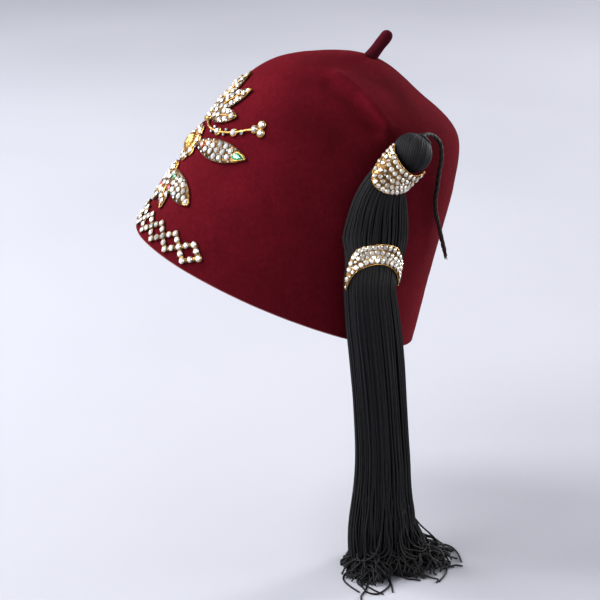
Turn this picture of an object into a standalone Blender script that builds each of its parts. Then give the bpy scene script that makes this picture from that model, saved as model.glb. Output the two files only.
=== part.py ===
"""A felt fez in the form it has when worn: tipped back, with stone-set metal ornaments on its
front and a long thread tassel that hangs plumb from its left side.

Frame: +Z up, the front of the hat faces -Y, the wearer's left is +X. The origin is the middle of
the head opening, in the plane of the rim. Tables are in millimetres and degrees, and MM turns a
finished point into metres. The crown and what is set on it are modelled upright on the hat's own
axis, and one empty tips them back together. The tassel is modelled in the world frame.
"""

import math
from collections import namedtuple

import bmesh
import bpy
from mathutils import Vector
from mathutils.bvhtree import BVHTree
from mathutils.geometry import delaunay_2d_cdt

MM = 0.001
GAP = 0.3

# ---- the felt crown ----
TIPPED_BACK = 23.5
FELT = 2.6
WIDTH_SHARE = 0.83
CROWN_SIDES = 40
WALL_RINGS = 3
DOME_RINGS = 8
INNER_WALL_RINGS = 2
INNER_DOME_RINGS = 6
APEX = 3.0

Ring = namedtuple("Ring", "name station front_reach front_height back_reach back_height")
PROFILE = (
    Ring("rim", 0.00, 102.5, 0.0, 102.5, 0.0),
    Ring("mid_wall", 0.50, 94.4, 42.9, 92.7, 55.8),
    Ring("wall_top", 1.00, 86.2, 85.7, 83.0, 111.7),
    Ring("shoulder", 1.45, 69.8, 129.0, 72.2, 140.8),
    Ring("top_edge", 2.10, 39.9, 154.0, 40.0, 155.6),
    Ring("apex", APEX, 0.0, 166.3, 0.0, 166.3),
    Ring("past_apex", 3.90, -39.9, 154.0, -40.0, 155.6),
)
REACHES = ("front_reach", "front_height", "back_reach", "back_height")
TOP_HEIGHT = PROFILE[-2].front_height

# a soft press in the left shoulder and the fold that stands behind it
Press = namedtuple("Press", "name x1 y1 z1 x2 y2 z2 spread outward")
PRESSES = (
    Press("hollow", 41, -36, 140, 61, -4, 130, 11.0, -2.2),
    Press("fold_top", 42, -20, 147, 47, -7, 147, 7.0, 0.9),
    Press("fold_side", 47, -7, 147, 59, 13, 134, 7.0, 1.1),
)

# ---- the stem: rings along its own axis ----
STEM_FOOT = (3.0, -3.6)
STEM_LEAN = 14.0
STEM_SIDES = 12
STEM_SIGHT = 10.0
StemRing = namedtuple("StemRing", "name along radius")
STEM = (
    StemRing("flare", 0.0, 4.7),
    StemRing("neck", 2.6, 4.3),
    StemRing("body", 15.0, 4.2),
    StemRing("round_low", 18.0, 3.7),
    StemRing("round_high", 19.8, 2.3),
    StemRing("tip", 20.4, 0.0),
)

# ---- plates and cut stones ----
PLATE_FOOT = 0.6
PLATE_TOP = 1.5
STONE_SIDES = 8
TABLE_SHARE = 0.55
STONE_RISE = 0.55
MARGIN = 0.55
INNER_PITCH = 7.0
INNER_EDGE = 1.2
INNER_STONE = 0.5

# leaves in the flat layout of the hat's front: across from the middle, up from the rim
Leaf = namedtuple("Leaf", "plate across up heading length half_width rows")
LEAVES = (
    Leaf("ornament_crest", 0, 91.5, 0, 39, 6.6, 2),
    Leaf("ornament_crest", 0, 91.5, 36, 37, 6.4, 2),
    Leaf("ornament_crest", 0, 91.5, 72, 31, 6.0, 2),
    Leaf("ornament_rosette", 9, 73, 84, 47, 7.4, 3),
    Leaf("ornament_drop", 0, 49.5, 180, 26, 5.8, 2),
    Leaf("ornament_drop", 0, 49.5, 144, 32, 6.2, 2),
    Leaf("ornament_drop", 0, 49.5, 108, 43, 7.4, 3),
)
LEAF_STONE = 2.05
LEAF_PITCH = 4.75
LEAF_STONE_SPACE = 0.25
LEAF_FIRST = {"ornament_crest": 7.5, "ornament_rosette": 11.5, "ornament_drop": 7.5}
LEAF_SINGLE_UNTIL = 13.0
LEAF_BARE_TIP = 1.6
LEAF_BLUNT = 0.35
LEAF_SHARES = (0.0, 0.15, 0.37, 0.62, 0.85, 1.0)

HUB_RADIUS = 4.9
HUB_SIDES = 12
DISC_SIDES = 8
SPRIG_HALF_WIDTH = 1.5
SPRIG_JOINT = 1.53
SPRIG_SIDES = 6
Berry = namedtuple("Berry", "across up")
SPRIG_ROUTE = ((3.0, 88.6), (12.0, 85.8), (24.0, 86.4), (36.0, 90.8), (46.0, 98.0))
SPRIG_BERRIES = (
    Berry(24.0, 86.4),
    Berry(36.0, 90.8),
    Berry(46.5, 98.5),
    Berry(51.4, 97.7),
    Berry(48.3, 103.2),
)
BERRY = 2.15
BERRY_PLATE = 2.9

ROSETTE_UP = 70.0
ROSETTE_PETALS = 8
PETAL_REACH = 10.6
PETAL_PLATE = 3.9
PETAL_STONE = 2.4
PETAL_DISC = 11.8
BOSS_RINGS = ((6.4, 0.0), (5.2, 2.0), (2.8, 3.2))
BOSS_SIDES = 10

BORDER_LOZENGES = 9
BORDER_PITCH = 15.2
BORDER_UP = 11.0
BORDER_RISE = 6.3
BORDER_STROKE = 2.3
BORDER_STONE = 1.85
BORDER_END = 2.4

# crescent plates bent round the tassel; along is measured down its spine from the ball's middle
Arc = namedtuple("Arc", "radius middle reach")
Crescent = namedtuple("Crescent", "name horns_along rise thickness half_span aside horns rows")
COLLAR = Crescent("tassel_collar", 3.0, 25.0, 15.8, 17.8, -3.0, "up", 4)
CLASP = Crescent("tassel_clasp", 89.0, 28.5, 14.6, 27.0, 1.0, "down", 3)
CRESCENT_STONE = 2.0
CRESCENT_EDGE = 0.3
CRESCENT_SPACE = 0.4
CRESCENT_ROW = 4.0
CRESCENT_STEPS = 60
HORN_BLUNT = 0.06
ARC_POINTS = 13
BENT_PLATE_FOOT = 0.65
BENT_INNER_PITCH = 6.0

# ---- the tassel ----
FLOOR = -172.0
BALL_RADIUS = 12.6
BALL_GROOVE = 0.5
BALL_SIDES = 18
BALL_RINGS = 8
LOBES = 12
LOBE_DEPTH = 0.07

# sections down the tassel; hug bends a section's edges towards the felt behind it
Section = namedtuple("Section", "name station x y z half_width half_depth facing hug")
SPINE = (
    Section("ball", 0, 73.2, 76.5, 105.8, 13.0, 13.0, 20, 0),
    Section("under_ball", 9, 74.9, 70.6, 99.7, 12.4, 11.4, 17, 0),
    Section("neck", 19, 77.0, 62.2, 91.5, 13.0, 9.2, 15, 0.5),
    Section("collar_end", 28, 77.8, 58.2, 83.2, 16.2, 8.5, 14, 1),
    Section("fan_top", 39, 78.8, 55.9, 72.8, 19.4, 8.0, 13, 2),
    Section("fan_low", 54, 79.7, 54.5, 57.3, 22.4, 7.9, 14, 3),
    Section("fan_end", 63, 80.9, 53.3, 47.6, 22.8, 8.3, 15, 3),
    Section("waist_top", 70.5, 82.7, 51.3, 40.2, 20.2, 9.6, 17, 2),
    Section("waist", 77, 85.2, 50.0, 34.3, 18.6, 11.0, 18, 1),
    Section("waist_end", 84, 87.2, 48.3, 26.9, 17.8, 12.6, 18, 0),
    Section("skirt_top", 90, 87.9, 48.1, 20.4, 17.3, 13.0, 19, 0),
    Section("rim_front", 109, 87.4, 50.3, 0.0, 18.1, 13.2, 20, 0),
    Section("rim_back", 124, 87.0, 52.2, -15.0, 18.2, 13.2, 20, 0),
    Section("free_top", 160, 86.9, 55.4, -50.0, 17.9, 14.0, 20, 0),
    Section("free_mid", 205, 87.2, 58.6, -95.0, 18.6, 14.8, 20, 0),
    Section("free_low", 245, 88.0, 60.2, -135.0, 21.0, 16.4, 20, 0),
    Section("bell", 265, 88.5, 63.6, -155.0, 26.0, 19.0, 20, 0),
    Section("ends", 282, 88.5, 65.0, FLOOR, 29.0, 23.0, 20, 0),
)
SECTION_COLUMNS = ("x", "y", "z", "half_width", "half_depth", "facing", "hug")
TASSEL_TOP = 13.4

# locks that spread where the tassel meets the floor, each reach a step round it from +X to +Y
LOCKS = 12
LOCK_SIDES = 6
LOCK_REACHES = (26, 30, 38, 46, 42, 34, 31, 29, 29, 31, 36, 39)
LockRing = namedtuple("LockRing", "name share height half_width half_height")
LOCK = (
    LockRing("root", 0.24, 36.0, 4.0, 3.0),
    LockRing("leaving", 0.42, 22.0, 5.5, 4.2),
    LockRing("bend", 0.60, 11.0, 6.8, 5.0),
    LockRing("lying", 0.80, 4.6, 6.4, 4.2),
    LockRing("end", 1.00, 2.2, 3.2, 2.0),
)

# ---- the free cord, by points down its route ----
CORD_DIAMETER = 3.0
CORD_STEP = 8.5
CORD_ROUTE = (
    (65.15, 84.05, 114.15),
    (61.1, 87.6, 114.2),
    (55.8, 91.6, 112.9),
    (51.0, 96.4, 109.8),
    (48.6, 100.4, 104.4),
    (49.0, 101.4, 95.0),
    (50.6, 99.6, 85.6),
    (51.2, 98.6, 76.6),
    (51.0, 97.6, 68.0),
    (48.9, 98.8, 58.4),
    (45.0, 101.6, 49.6),
    (41.5, 105.0, 38.0),
    (39.5, 108.4, 26.0),
)


def clear_scene():
    for item in list(bpy.data.objects):
        bpy.data.objects.remove(item, do_unlink=True)


def smooth_row(rows, station, columns):
    """The named columns at a station, on a smooth curve through the table's rows."""
    last = len(rows) - 1
    low = 0
    while low < last - 1 and rows[low + 1].station <= station:
        low += 1

    def slope(index, column):
        before, after = rows[max(index - 1, 0)], rows[min(index + 1, last)]
        return (getattr(after, column) - getattr(before, column)) / (after.station - before.station)

    start, end = rows[low], rows[low + 1]
    step = end.station - start.station
    q = (station - start.station) / step
    values = []
    for column in columns:
        a, b = getattr(start, column), getattr(end, column)
        bend = (q**3 - 2 * q**2 + q) * step * slope(low, column)
        bend += (q**3 - q**2) * step * slope(low + 1, column)
        values.append(a + (b - a) * (3 * q**2 - 2 * q**3) + bend)
    return values


def smooth_route(points, step):
    """Points about one step apart on a smooth curve through the given points."""
    stop = namedtuple("Stop", "station x y z")
    stops, run = [], 0.0
    for index, point in enumerate(points):
        if index:
            run += (Vector(point) - Vector(points[index - 1])).length
        stops.append(stop(run, *point))
    count = max(2, round(run / step))
    return [Vector(smooth_row(stops, run * i / count, ("x", "y", "z"))) for i in range(count + 1)]


# ---- meshes and objects ----


def material(name, color, roughness, metallic=0.0):
    made = bpy.data.materials.new(name)
    made.use_nodes = True
    shader = made.node_tree.nodes["Principled BSDF"]
    shader.inputs["Base Color"].default_value = (*color, 1.0)
    shader.inputs["Roughness"].default_value = roughness
    shader.inputs["Metallic"].default_value = metallic
    return made


def place(name, mesh, finish, parent=None):
    mesh.materials.clear()
    mesh.materials.append(finish)
    made = bpy.data.objects.new(name, mesh)
    made.parent = parent
    bpy.context.scene.collection.objects.link(made)
    return made


def mesh_from(name, points, faces):
    """A triangulated mesh in metres, with its faces turned outwards."""
    shape = bmesh.new()
    corners = [shape.verts.new(Vector(point) * MM) for point in points]
    for face in faces:
        shape.faces.new([corners[index] for index in face])
    bmesh.ops.triangulate(shape, faces=shape.faces)
    bmesh.ops.recalc_face_normals(shape, faces=shape.faces)
    mesh = bpy.data.meshes.new(name)
    shape.to_mesh(mesh)
    shape.free()
    return mesh


def lofted(name, rings, start_tip=None, end_tip=None):
    """A closed skin through rings of points, with a tip point or a flat cap at each end."""
    sides = len(rings[0])
    points = [point for ring in rings for point in ring]
    faces = []
    for row in range(len(rings) - 1):
        for side in range(sides):
            a = row * sides + side
            b = row * sides + (side + 1) % sides
            faces.append((a, b, b + sides, a + sides))
    for tip, first in ((start_tip, 0), (end_tip, (len(rings) - 1) * sides)):
        if tip is None:
            faces.append([first + side for side in range(sides)])
            continue
        points.append(tip)
        for side in range(sides):
            faces.append((first + side, first + (side + 1) % sides, len(points) - 1))
    return mesh_from(name, points, faces)


def fused(name, meshes):
    """One body made of overlapping closed meshes."""
    pieces = [bpy.data.objects.new(f"{name}_{index}", mesh) for index, mesh in enumerate(meshes)]
    for piece in pieces:
        bpy.context.scene.collection.objects.link(piece)
    for piece in pieces[1:]:
        union = pieces[0].modifiers.new("union", "BOOLEAN")
        union.operation = "UNION"
        union.object = piece
    bpy.context.view_layer.update()
    shaped = pieces[0].evaluated_get(bpy.context.evaluated_depsgraph_get())
    mesh = bpy.data.meshes.new_from_object(shaped)
    for piece in pieces:
        bpy.data.objects.remove(piece, do_unlink=True)
    mesh.name = name
    return mesh


# ---- crown and stem ----


def crown_skin(angle, station):
    """A point of the felt's outer face before it is pressed."""
    front_reach, front_height, back_reach, back_height = smooth_row(PROFILE, station, REACHES)
    front_share = 0.5 - 0.5 * math.sin(angle)
    reach = front_reach * front_share + back_reach * (1 - front_share)
    height = front_height * front_share + back_height * (1 - front_share)
    half_width = 0.5 * (front_reach + back_reach) * WIDTH_SHARE
    return Vector((half_width * math.cos(angle), reach * math.sin(angle), height))


def crown_normal(angle, station):
    step = 0.01
    station = min(station, APEX - 2 * step)
    around = crown_skin(angle + step, station) - crown_skin(angle - step, station)
    rise = crown_skin(angle, station + step) - crown_skin(angle, station - step)
    return around.cross(rise).normalized()


def pressed(point):
    """How far the felt stands out or in at a point, from the presses of the shoulder."""
    outward = 0.0
    for press in PRESSES:
        start, end = Vector(press[1:4]), Vector(press[4:7])
        share = (point - start).dot(end - start) / (end - start).length_squared
        nearest = start.lerp(end, min(max(share, 0.0), 1.0))
        outward += press.outward * math.exp(-(((point - nearest).length / press.spread) ** 2))
    return outward


def crown_point(angle, station, outward=0.0):
    point = crown_skin(angle, station)
    return point + crown_normal(angle, station) * (pressed(point) + outward)


def crown_mesh():
    """Outer and inner face of the felt, joined round the rim."""
    angles = [math.tau * side / CROWN_SIDES for side in range(CROWN_SIDES)]
    faces = []
    for outward, wall_rings, dome_rings in (
        (0.0, WALL_RINGS, DOME_RINGS),
        (-FELT, INNER_WALL_RINGS, INNER_DOME_RINGS),
    ):
        stations = [index / wall_rings for index in range(wall_rings)]
        stations += [1 + (APEX - 1) * index / dome_rings for index in range(dome_rings)]
        face = [[crown_point(angle, station, outward) for angle in angles] for station in stations]
        for point in face[0]:
            point.z = 0.0
        tip = Vector((0.0, 0.0, TOP_HEIGHT + outward))
        faces.append((face, tip))
    (outer, outer_tip), (inner, inner_tip) = faces
    return lofted("crown", inner[::-1] + outer, inner_tip, outer_tip)


def crown_tree(mesh):
    shape = bmesh.new()
    shape.from_mesh(mesh)
    tree = BVHTree.FromBMesh(shape)
    shape.free()
    return tree


def stem_mesh(felt):
    """The stalk, whose foot follows the felt under it."""
    lean = math.radians(STEM_LEAN)
    axis = Vector((0.0, math.sin(lean), math.cos(lean)))
    side, front = Vector((1.0, 0.0, 0.0)), Vector((0.0, math.cos(lean), -math.sin(lean)))
    above = Vector((*STEM_FOOT, TOP_HEIGHT)) + axis * STEM_SIGHT
    foot = felt.ray_cast(above * MM, -axis)[0] / MM + axis * GAP
    rings = []
    for ring in STEM[:-1]:
        points = []
        for index in range(STEM_SIDES):
            turn = math.tau * index / STEM_SIDES
            outward = side * math.cos(turn) + front * math.sin(turn)
            point = foot + axis * ring.along + outward * ring.radius
            if ring.along == 0:
                under = felt.ray_cast((point + axis * STEM_SIGHT) * MM, -axis)[0] / MM
                point = under + axis * 2 * GAP
            points.append(point)
        rings.append(points)
    return lofted("stem", rings, end_tip=foot + axis * STEM[-1].along)


# ---- flat layouts that are bent onto a surface ----


def circle(across, up, radius, sides, turn=0.0):
    turns = [turn + math.tau * index / sides for index in range(sides)]
    return [(across + radius * math.cos(angle), up + radius * math.sin(angle)) for angle in turns]


def capsule(start, end, half_width):
    """A straight strip between two points, as wide as twice half_width."""
    a, b = Vector(start), Vector(end)
    side = (b - a).normalized().orthogonal() * half_width
    return [tuple(a - side), tuple(b - side), tuple(b + side), tuple(a + side)]


def cut(points, edges, rings):
    """Triangles of the whole flat area that keep the given edges and rings."""
    flat = [Vector(point) for point in points]
    made, _, faces, sources, _, _ = delaunay_2d_cdt(flat, edges, rings, 0, 1e-5)
    return [tuple(point) for point in made], faces, sources


def merged(outlines):
    """The outer edges of overlapping outlines, as points and pairs of them."""
    points, rings = [], []
    for outline in outlines:
        rings.append([len(points) + index for index in range(len(outline))])
        points += outline
    flat = [Vector(point) for point in points]
    made, _, faces, _, _, _ = delaunay_2d_cdt(flat, [], rings, 1, 1e-5)
    used = {}
    for face in faces:
        for a, b in zip(face, face[1:] + face[:1]):
            used[frozenset((a, b))] = used.get(frozenset((a, b)), 0) + 1
    border = [tuple(pair) for pair, count in used.items() if count == 1]
    kept = sorted({index for pair in border for index in pair})
    order = {index: spot for spot, index in enumerate(kept)}
    return [tuple(made[index]) for index in kept], [(order[a], order[b]) for a, b in border]


def inside(point, points, edges):
    """Whether a point lies within the border, by the edges that a line to its right crosses."""
    x, y = point
    crossed = False
    for a, b in edges:
        (ax, ay), (bx, by) = points[a], points[b]
        if (ay > y) != (by > y) and x < ax + (y - ay) * (bx - ax) / (by - ay):
            crossed = not crossed
    return crossed


def edge_distance(point, points, edges):
    nearest = math.inf
    spot = Vector(point)
    for a, b in edges:
        start, end = Vector(points[a]), Vector(points[b])
        share = (spot - start).dot(end - start) / (end - start).length_squared
        nearest = min(nearest, (spot - start.lerp(end, min(max(share, 0.0), 1.0))).length)
    return nearest


def layer(border, edges, rings, heights, spots):
    """One side of a plate: triangles inside the border, and a height for each of their points."""
    points, all_rings = list(border), []
    raised = {}
    for ring, height in zip(rings, heights):
        all_rings.append([len(points) + index for index in range(len(ring))])
        raised.update({len(points) + index: height for index in range(len(ring))})
        points += ring
    made, faces, sources = cut(points + spots, edges, all_rings)
    kept = []
    for face in faces:
        middle = [sum(made[index][axis] for index in face) / 3 for axis in (0, 1)]
        if inside(middle, border, edges):
            kept.append(face)
    height = [max((raised.get(source, 0.0) for source in origin), default=0.0) for origin in sources]
    return made, kept, height


def inlay_mesh(name, outlines, stones, bend, foot=PLATE_FOOT, pitch=INNER_PITCH, boss=None):
    """A thin plate with cut stones standing on it, laid out flat and then bent."""
    border, edges = merged(outlines)
    rings, heights = [], []
    for across, up, radius in stones:
        for share, height in ((1.0, 0.0), (TABLE_SHARE, radius * STONE_RISE)):
            rings.append(circle(across, up, radius * share, STONE_SIDES, math.pi / STONE_SIDES))
            heights.append(height)
    filled = [(across, up, radius + INNER_STONE) for across, up, radius in stones]
    if boss:
        for radius, height in BOSS_RINGS:
            rings.append(circle(*boss, radius, BOSS_SIDES))
            heights.append(height)
        filled.append((*boss, BOSS_RINGS[0][0] + INNER_STONE))
    lows = [min(point[axis] for point in border) for axis in (0, 1)]
    highs = [max(point[axis] for point in border) for axis in (0, 1)]
    spots = []
    for column in range(int((highs[0] - lows[0]) / pitch) + 1):
        for row in range(int((highs[1] - lows[1]) / pitch) + 1):
            spot = (lows[0] + (column + 0.5) * pitch, lows[1] + (row + 0.5) * pitch)
            if inside(spot, border, edges) and edge_distance(spot, border, edges) > INNER_EDGE:
                spots.append(spot)
    bare = [spot for spot in spots if all(math.dist(spot, disc[:2]) > disc[2] for disc in filled)]
    top, top_faces, top_heights = layer(border, edges, rings, heights, bare)
    low, low_faces, _ = layer(border, edges, [], [], spots)

    points = [bend(*point, PLATE_TOP + height) for point, height in zip(top, top_heights)]
    points += [bend(*point, foot) for point in low]
    faces = [tuple(face) for face in top_faces]
    faces += [tuple(len(top) + index for index in reversed(face)) for face in low_faces]
    below = {(round(x, 3), round(y, 3)): len(top) + index for index, (x, y) in enumerate(low)}
    border_edges = {}
    for face in top_faces:
        for a, b in zip(face, face[1:] + face[:1]):
            if (b, a) in border_edges:
                del border_edges[(b, a)]
            else:
                border_edges[(a, b)] = True
    for a, b in border_edges:
        low_a, low_b = (below[round(top[index][0], 3), round(top[index][1], 3)] for index in (a, b))
        faces.append((b, a, low_a, low_b))
    used = sorted({index for face in faces for index in face})
    order = {index: spot for spot, index in enumerate(used)}
    return mesh_from(name, [points[i] for i in used], [[order[i] for i in face] for face in faces])


# ---- the ornaments of the front ----


def front_station():
    """Station of the profile for each millimetre up the front from the rim."""
    steps = 600
    stations, run = [0.0], 0.0
    for index in range(steps):
        here, there = APEX * index / steps, APEX * (index + 1) / steps
        run += (crown_skin(-math.pi / 2, there) - crown_skin(-math.pi / 2, here)).length
        while len(stations) <= run:
            stations.append(there)
    return stations


FRONT_STATIONS = front_station()


def on_crown(across, up, height):
    """Bends the flat layout of the front onto the felt."""
    low = int(up)
    station = FRONT_STATIONS[low] + (up - low) * (FRONT_STATIONS[low + 1] - FRONT_STATIONS[low])
    half_width = crown_skin(0.0, station).x
    return crown_point(-math.pi / 2 + across / half_width, station, height)


def leaf_width(leaf, along):
    return leaf.half_width * math.sin(math.pi * min(along / leaf.length, 1.0) ** 1.2) ** 0.75


def leaf_spot(leaf, along, aside):
    heading = math.radians(leaf.heading)
    ahead = Vector((math.sin(heading), math.cos(heading)))
    right = Vector((math.cos(heading), -math.sin(heading)))
    return tuple(Vector((leaf.across, leaf.up)) + ahead * along + right * aside)


def leaf_outline(leaf):
    sides = [[], []]
    for share in LEAF_SHARES:
        along = leaf.length * share
        for side, sign in zip(sides, (1, -1)):
            side.append(leaf_spot(leaf, along, sign * max(leaf_width(leaf, along), LEAF_BLUNT)))
    return sides[0] + sides[1][::-1]


def leaf_stones(leaf):
    """Stones in rows along a leaf, as many side by side as it has room for."""
    stones = []
    along = LEAF_FIRST[leaf.plate]
    need = 2 * LEAF_STONE + LEAF_STONE_SPACE
    while along < leaf.length - LEAF_STONE - LEAF_BARE_TIP:
        room = leaf_width(leaf, along) - MARGIN
        rows = min(leaf.rows, int(2 * room / need)) if along > LEAF_SINGLE_UNTIL else 1
        reach = room - LEAF_STONE if rows == 2 and leaf.rows == 2 else need * (rows - 1) / 2
        for row in range(rows):
            aside = 0.0 if rows == 1 else -reach + 2 * reach * row / (rows - 1)
            stones.append((*leaf_spot(leaf, along, aside), LEAF_STONE))
        along += LEAF_PITCH
    return stones


def mirrored(leaf):
    if leaf.heading in (0, 180):
        return [leaf]
    return [leaf, leaf._replace(across=-leaf.across, heading=-leaf.heading)]


def leaves_of(plate):
    leaves = [side for leaf in LEAVES if leaf.plate == plate for side in mirrored(leaf)]
    outlines = [leaf_outline(leaf) for leaf in leaves]
    stones = [stone for leaf in leaves for stone in leaf_stones(leaf)]
    return outlines, stones


def crest_mesh():
    outlines, stones = leaves_of("ornament_crest")
    outlines.append(circle(0.0, LEAVES[0].up, HUB_RADIUS, HUB_SIDES))
    stones.append((0.0, LEAVES[0].up, BERRY))
    for sign in (1, -1):
        route = [(sign * across, up) for across, up in SPRIG_ROUTE]
        outlines += [capsule(a, b, SPRIG_HALF_WIDTH) for a, b in zip(route, route[1:])]
        outlines += [circle(*spot, SPRIG_JOINT, SPRIG_SIDES) for spot in route]
        for berry in SPRIG_BERRIES:
            outlines.append(circle(sign * berry.across, berry.up, BERRY_PLATE, DISC_SIDES))
            stones.append((sign * berry.across, berry.up, BERRY))
    return inlay_mesh("ornament_crest", outlines, stones, on_crown)


def rosette_mesh():
    outlines, stones = leaves_of("ornament_rosette")
    outlines.append(circle(0.0, ROSETTE_UP, PETAL_DISC, HUB_SIDES))
    for petal in range(ROSETTE_PETALS):
        turn = math.tau * (petal + 0.5) / ROSETTE_PETALS
        spot = (PETAL_REACH * math.cos(turn), ROSETTE_UP + PETAL_REACH * math.sin(turn))
        outlines.append(circle(*spot, PETAL_PLATE, DISC_SIDES))
        stones.append((*spot, PETAL_STONE))
    return inlay_mesh("ornament_rosette", outlines, stones, on_crown, boss=(0.0, ROSETTE_UP))


def drop_mesh():
    outlines, stones = leaves_of("ornament_drop")
    outlines.append(circle(0.0, LEAVES[-1].up, HUB_RADIUS, HUB_SIDES))
    stones.append((0.0, LEAVES[-1].up, BERRY))
    return inlay_mesh("ornament_drop", outlines, stones, on_crown)


def border_mesh():
    """Two crossing zigzag ribbons that make a row of open lozenges."""
    half = BORDER_LOZENGES * BORDER_PITCH / 2
    steps = 2 * BORDER_LOZENGES
    offset = BORDER_STROKE / math.cos(math.atan2(BORDER_RISE, BORDER_PITCH / 2))
    outlines, spots = [], set()
    for sign in (1, -1):
        zigzag = []
        for step in range(steps + 1):
            rise = sign * BORDER_RISE * math.sin(math.pi * step / 2)
            zigzag.append((-half + step * BORDER_PITCH / 2, round(BORDER_UP + rise, 6)))
        under = [(across, up - offset) for across, up in zigzag]
        over = [(across, up + offset) for across, up in zigzag]
        outlines.append(under + over[::-1])
        spots.update(zigzag)
    outlines += [circle(end, BORDER_UP, BORDER_END, DISC_SIDES) for end in (-half, half)]
    stones = [(*spot, BORDER_STONE) for spot in sorted(spots)]
    return inlay_mesh("front_border", outlines, stones, on_crown)


# ---- the tassel ----


def tassel_point(station, turn, outward=0.0):
    """A point round the tassel at a station of its spine; turn 0 faces away from the felt."""
    x, y, z, half_width, half_depth, facing, hug = smooth_row(SPINE, station, SECTION_COLUMNS)
    ahead = smooth_row(SPINE, min(station + 1.0, SPINE[-1].station), ("x", "y", "z"))
    behind = smooth_row(SPINE, max(station - 1.0, 0.0), ("x", "y", "z"))
    rise = (Vector(behind) - Vector(ahead)).normalized()
    face = Vector((math.cos(math.radians(facing)), math.sin(math.radians(facing)), 0.0))
    side = rise.cross(face).normalized()
    face = side.cross(rise)
    depth = (half_depth + outward) * math.cos(turn) - hug * math.sin(turn) ** 2
    return Vector((x, y, z)) + face * depth + side * (half_width + outward) * math.sin(turn)


def on_tassel(across, up, height):
    """Bends a flat layout round the tassel; up is minus the distance down the spine."""
    half_width = smooth_row(SPINE, -up, ("half_width",))[0]
    return tassel_point(-up, across / half_width, height)


def crescent_mesh(plate):
    """A crescent-shaped plate with rows of stones that follow its curve."""
    sign = -1 if plate.horns == "up" else 1

    def arc_of(rise):
        radius = (plate.half_span**2 + rise**2) / (2 * rise)
        return Arc(radius, rise - radius, math.atan2(plate.half_span, radius - rise))

    def spot(arc, turn):
        up = arc.middle + arc.radius * math.cos(turn)
        return (arc.radius * math.sin(turn) + plate.aside, -plate.horns_along + sign * up)

    outer, inner = arc_of(plate.rise), arc_of(plate.rise - plate.thickness)
    outline = []
    for arc, direction in ((outer, 1), (inner, -1)):
        reach = arc.reach * (1 - HORN_BLUNT)
        turns = [direction * reach * (2 * i / (ARC_POINTS - 1) - 1) for i in range(ARC_POINTS)]
        outline += [spot(arc, turn) for turn in turns]
    points, edges = merged([outline])
    stones = []
    inset = CRESCENT_STONE + CRESCENT_EDGE
    for row in range(plate.rows):
        for step in range(2 * CRESCENT_STEPS):
            share = (step // 2) / CRESCENT_STEPS * (1 if step % 2 else -1)
            far, near = spot(outer, share * outer.reach), spot(inner, share * inner.reach)
            room = math.dist(far, near) - 2 * inset
            gaps = int(room / CRESCENT_ROW)
            if room < 0 or row > gaps:
                continue
            across = (inset + room * (row / gaps if gaps else 0.5)) / math.dist(far, near)
            stone = tuple(a + (b - a) * across for a, b in zip(far, near))
            spacing = min((math.dist(stone, other[:2]) for other in stones), default=math.inf)
            if spacing < 2 * CRESCENT_STONE + CRESCENT_SPACE:
                continue
            if edge_distance(stone, points, edges) > inset - 0.1:
                stones.append((*stone, CRESCENT_STONE))
    return inlay_mesh(plate.name, [outline], stones, on_tassel, BENT_PLATE_FOOT, BENT_INNER_PITCH)


def ball_mesh():
    """The wound ball: ridges of thread from its top to its neck."""
    middle = Vector((SPINE[0].x, SPINE[0].y, SPINE[0].z))
    axis = (middle - Vector((SPINE[2].x, SPINE[2].y, SPINE[2].z))).normalized()
    side = axis.orthogonal().normalized()
    front = axis.cross(side)
    rings = []
    for row in range(1, BALL_RINGS):
        polar = math.pi * row / BALL_RINGS
        ring = []
        for index in range(BALL_SIDES):
            turn = math.tau * index / BALL_SIDES
            radius = BALL_RADIUS - BALL_GROOVE * (index % 2)
            outward = side * math.cos(turn) + front * math.sin(turn)
            level = middle + axis * BALL_RADIUS * math.cos(polar)
            ring.append(level + outward * radius * math.sin(polar))
        rings.append(ring)
    return lofted("tassel_knob", rings, middle + axis * BALL_RADIUS, middle - axis * BALL_RADIUS)


def bundle_mesh():
    """The body of the strands, lobed into locks from the neck to the floor."""
    rings = []
    for station in (TASSEL_TOP, *(section.station for section in SPINE[2:])):
        half_width, half_depth = smooth_row(SPINE, station, ("half_width", "half_depth"))
        ring = []
        for index in range(2 * LOBES):
            groove = LOBE_DEPTH * half_depth * (index % 2)
            point = tassel_point(station, math.tau * index / (2 * LOBES), -groove)
            point.z = max(point.z, FLOOR)
            ring.append(point)
        rings.append(ring)
    return lofted("bundle", rings)


def lock_mesh(index):
    """One lock that leaves the bundle, bends and lies out on the floor."""
    turn = math.tau * index / LOCKS
    outward = Vector((math.cos(turn), math.sin(turn), 0.0))
    side = Vector((-math.sin(turn), math.cos(turn), 0.0))
    foot = Vector((SPINE[-1].x, SPINE[-1].y, FLOOR))
    reach = LOCK_REACHES[index]
    rise = Vector((0.0, 0.0, 1.0))
    middles = [foot + outward * reach * ring.share + rise * ring.height for ring in LOCK]
    rings = []
    for row, ring in enumerate(LOCK):
        ahead = middles[min(row + 1, len(LOCK) - 1)] - middles[max(row - 1, 0)]
        up = ahead.cross(side).normalized()
        points = []
        for corner in range(LOCK_SIDES):
            angle = math.tau * corner / LOCK_SIDES
            aside = side * ring.half_width * math.cos(angle)
            point = middles[row] + aside + up * ring.half_height * math.sin(angle)
            point.z = max(point.z, FLOOR)
            points.append(point)
        rings.append(points)
    return lofted(f"lock_{index}", rings)


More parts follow.
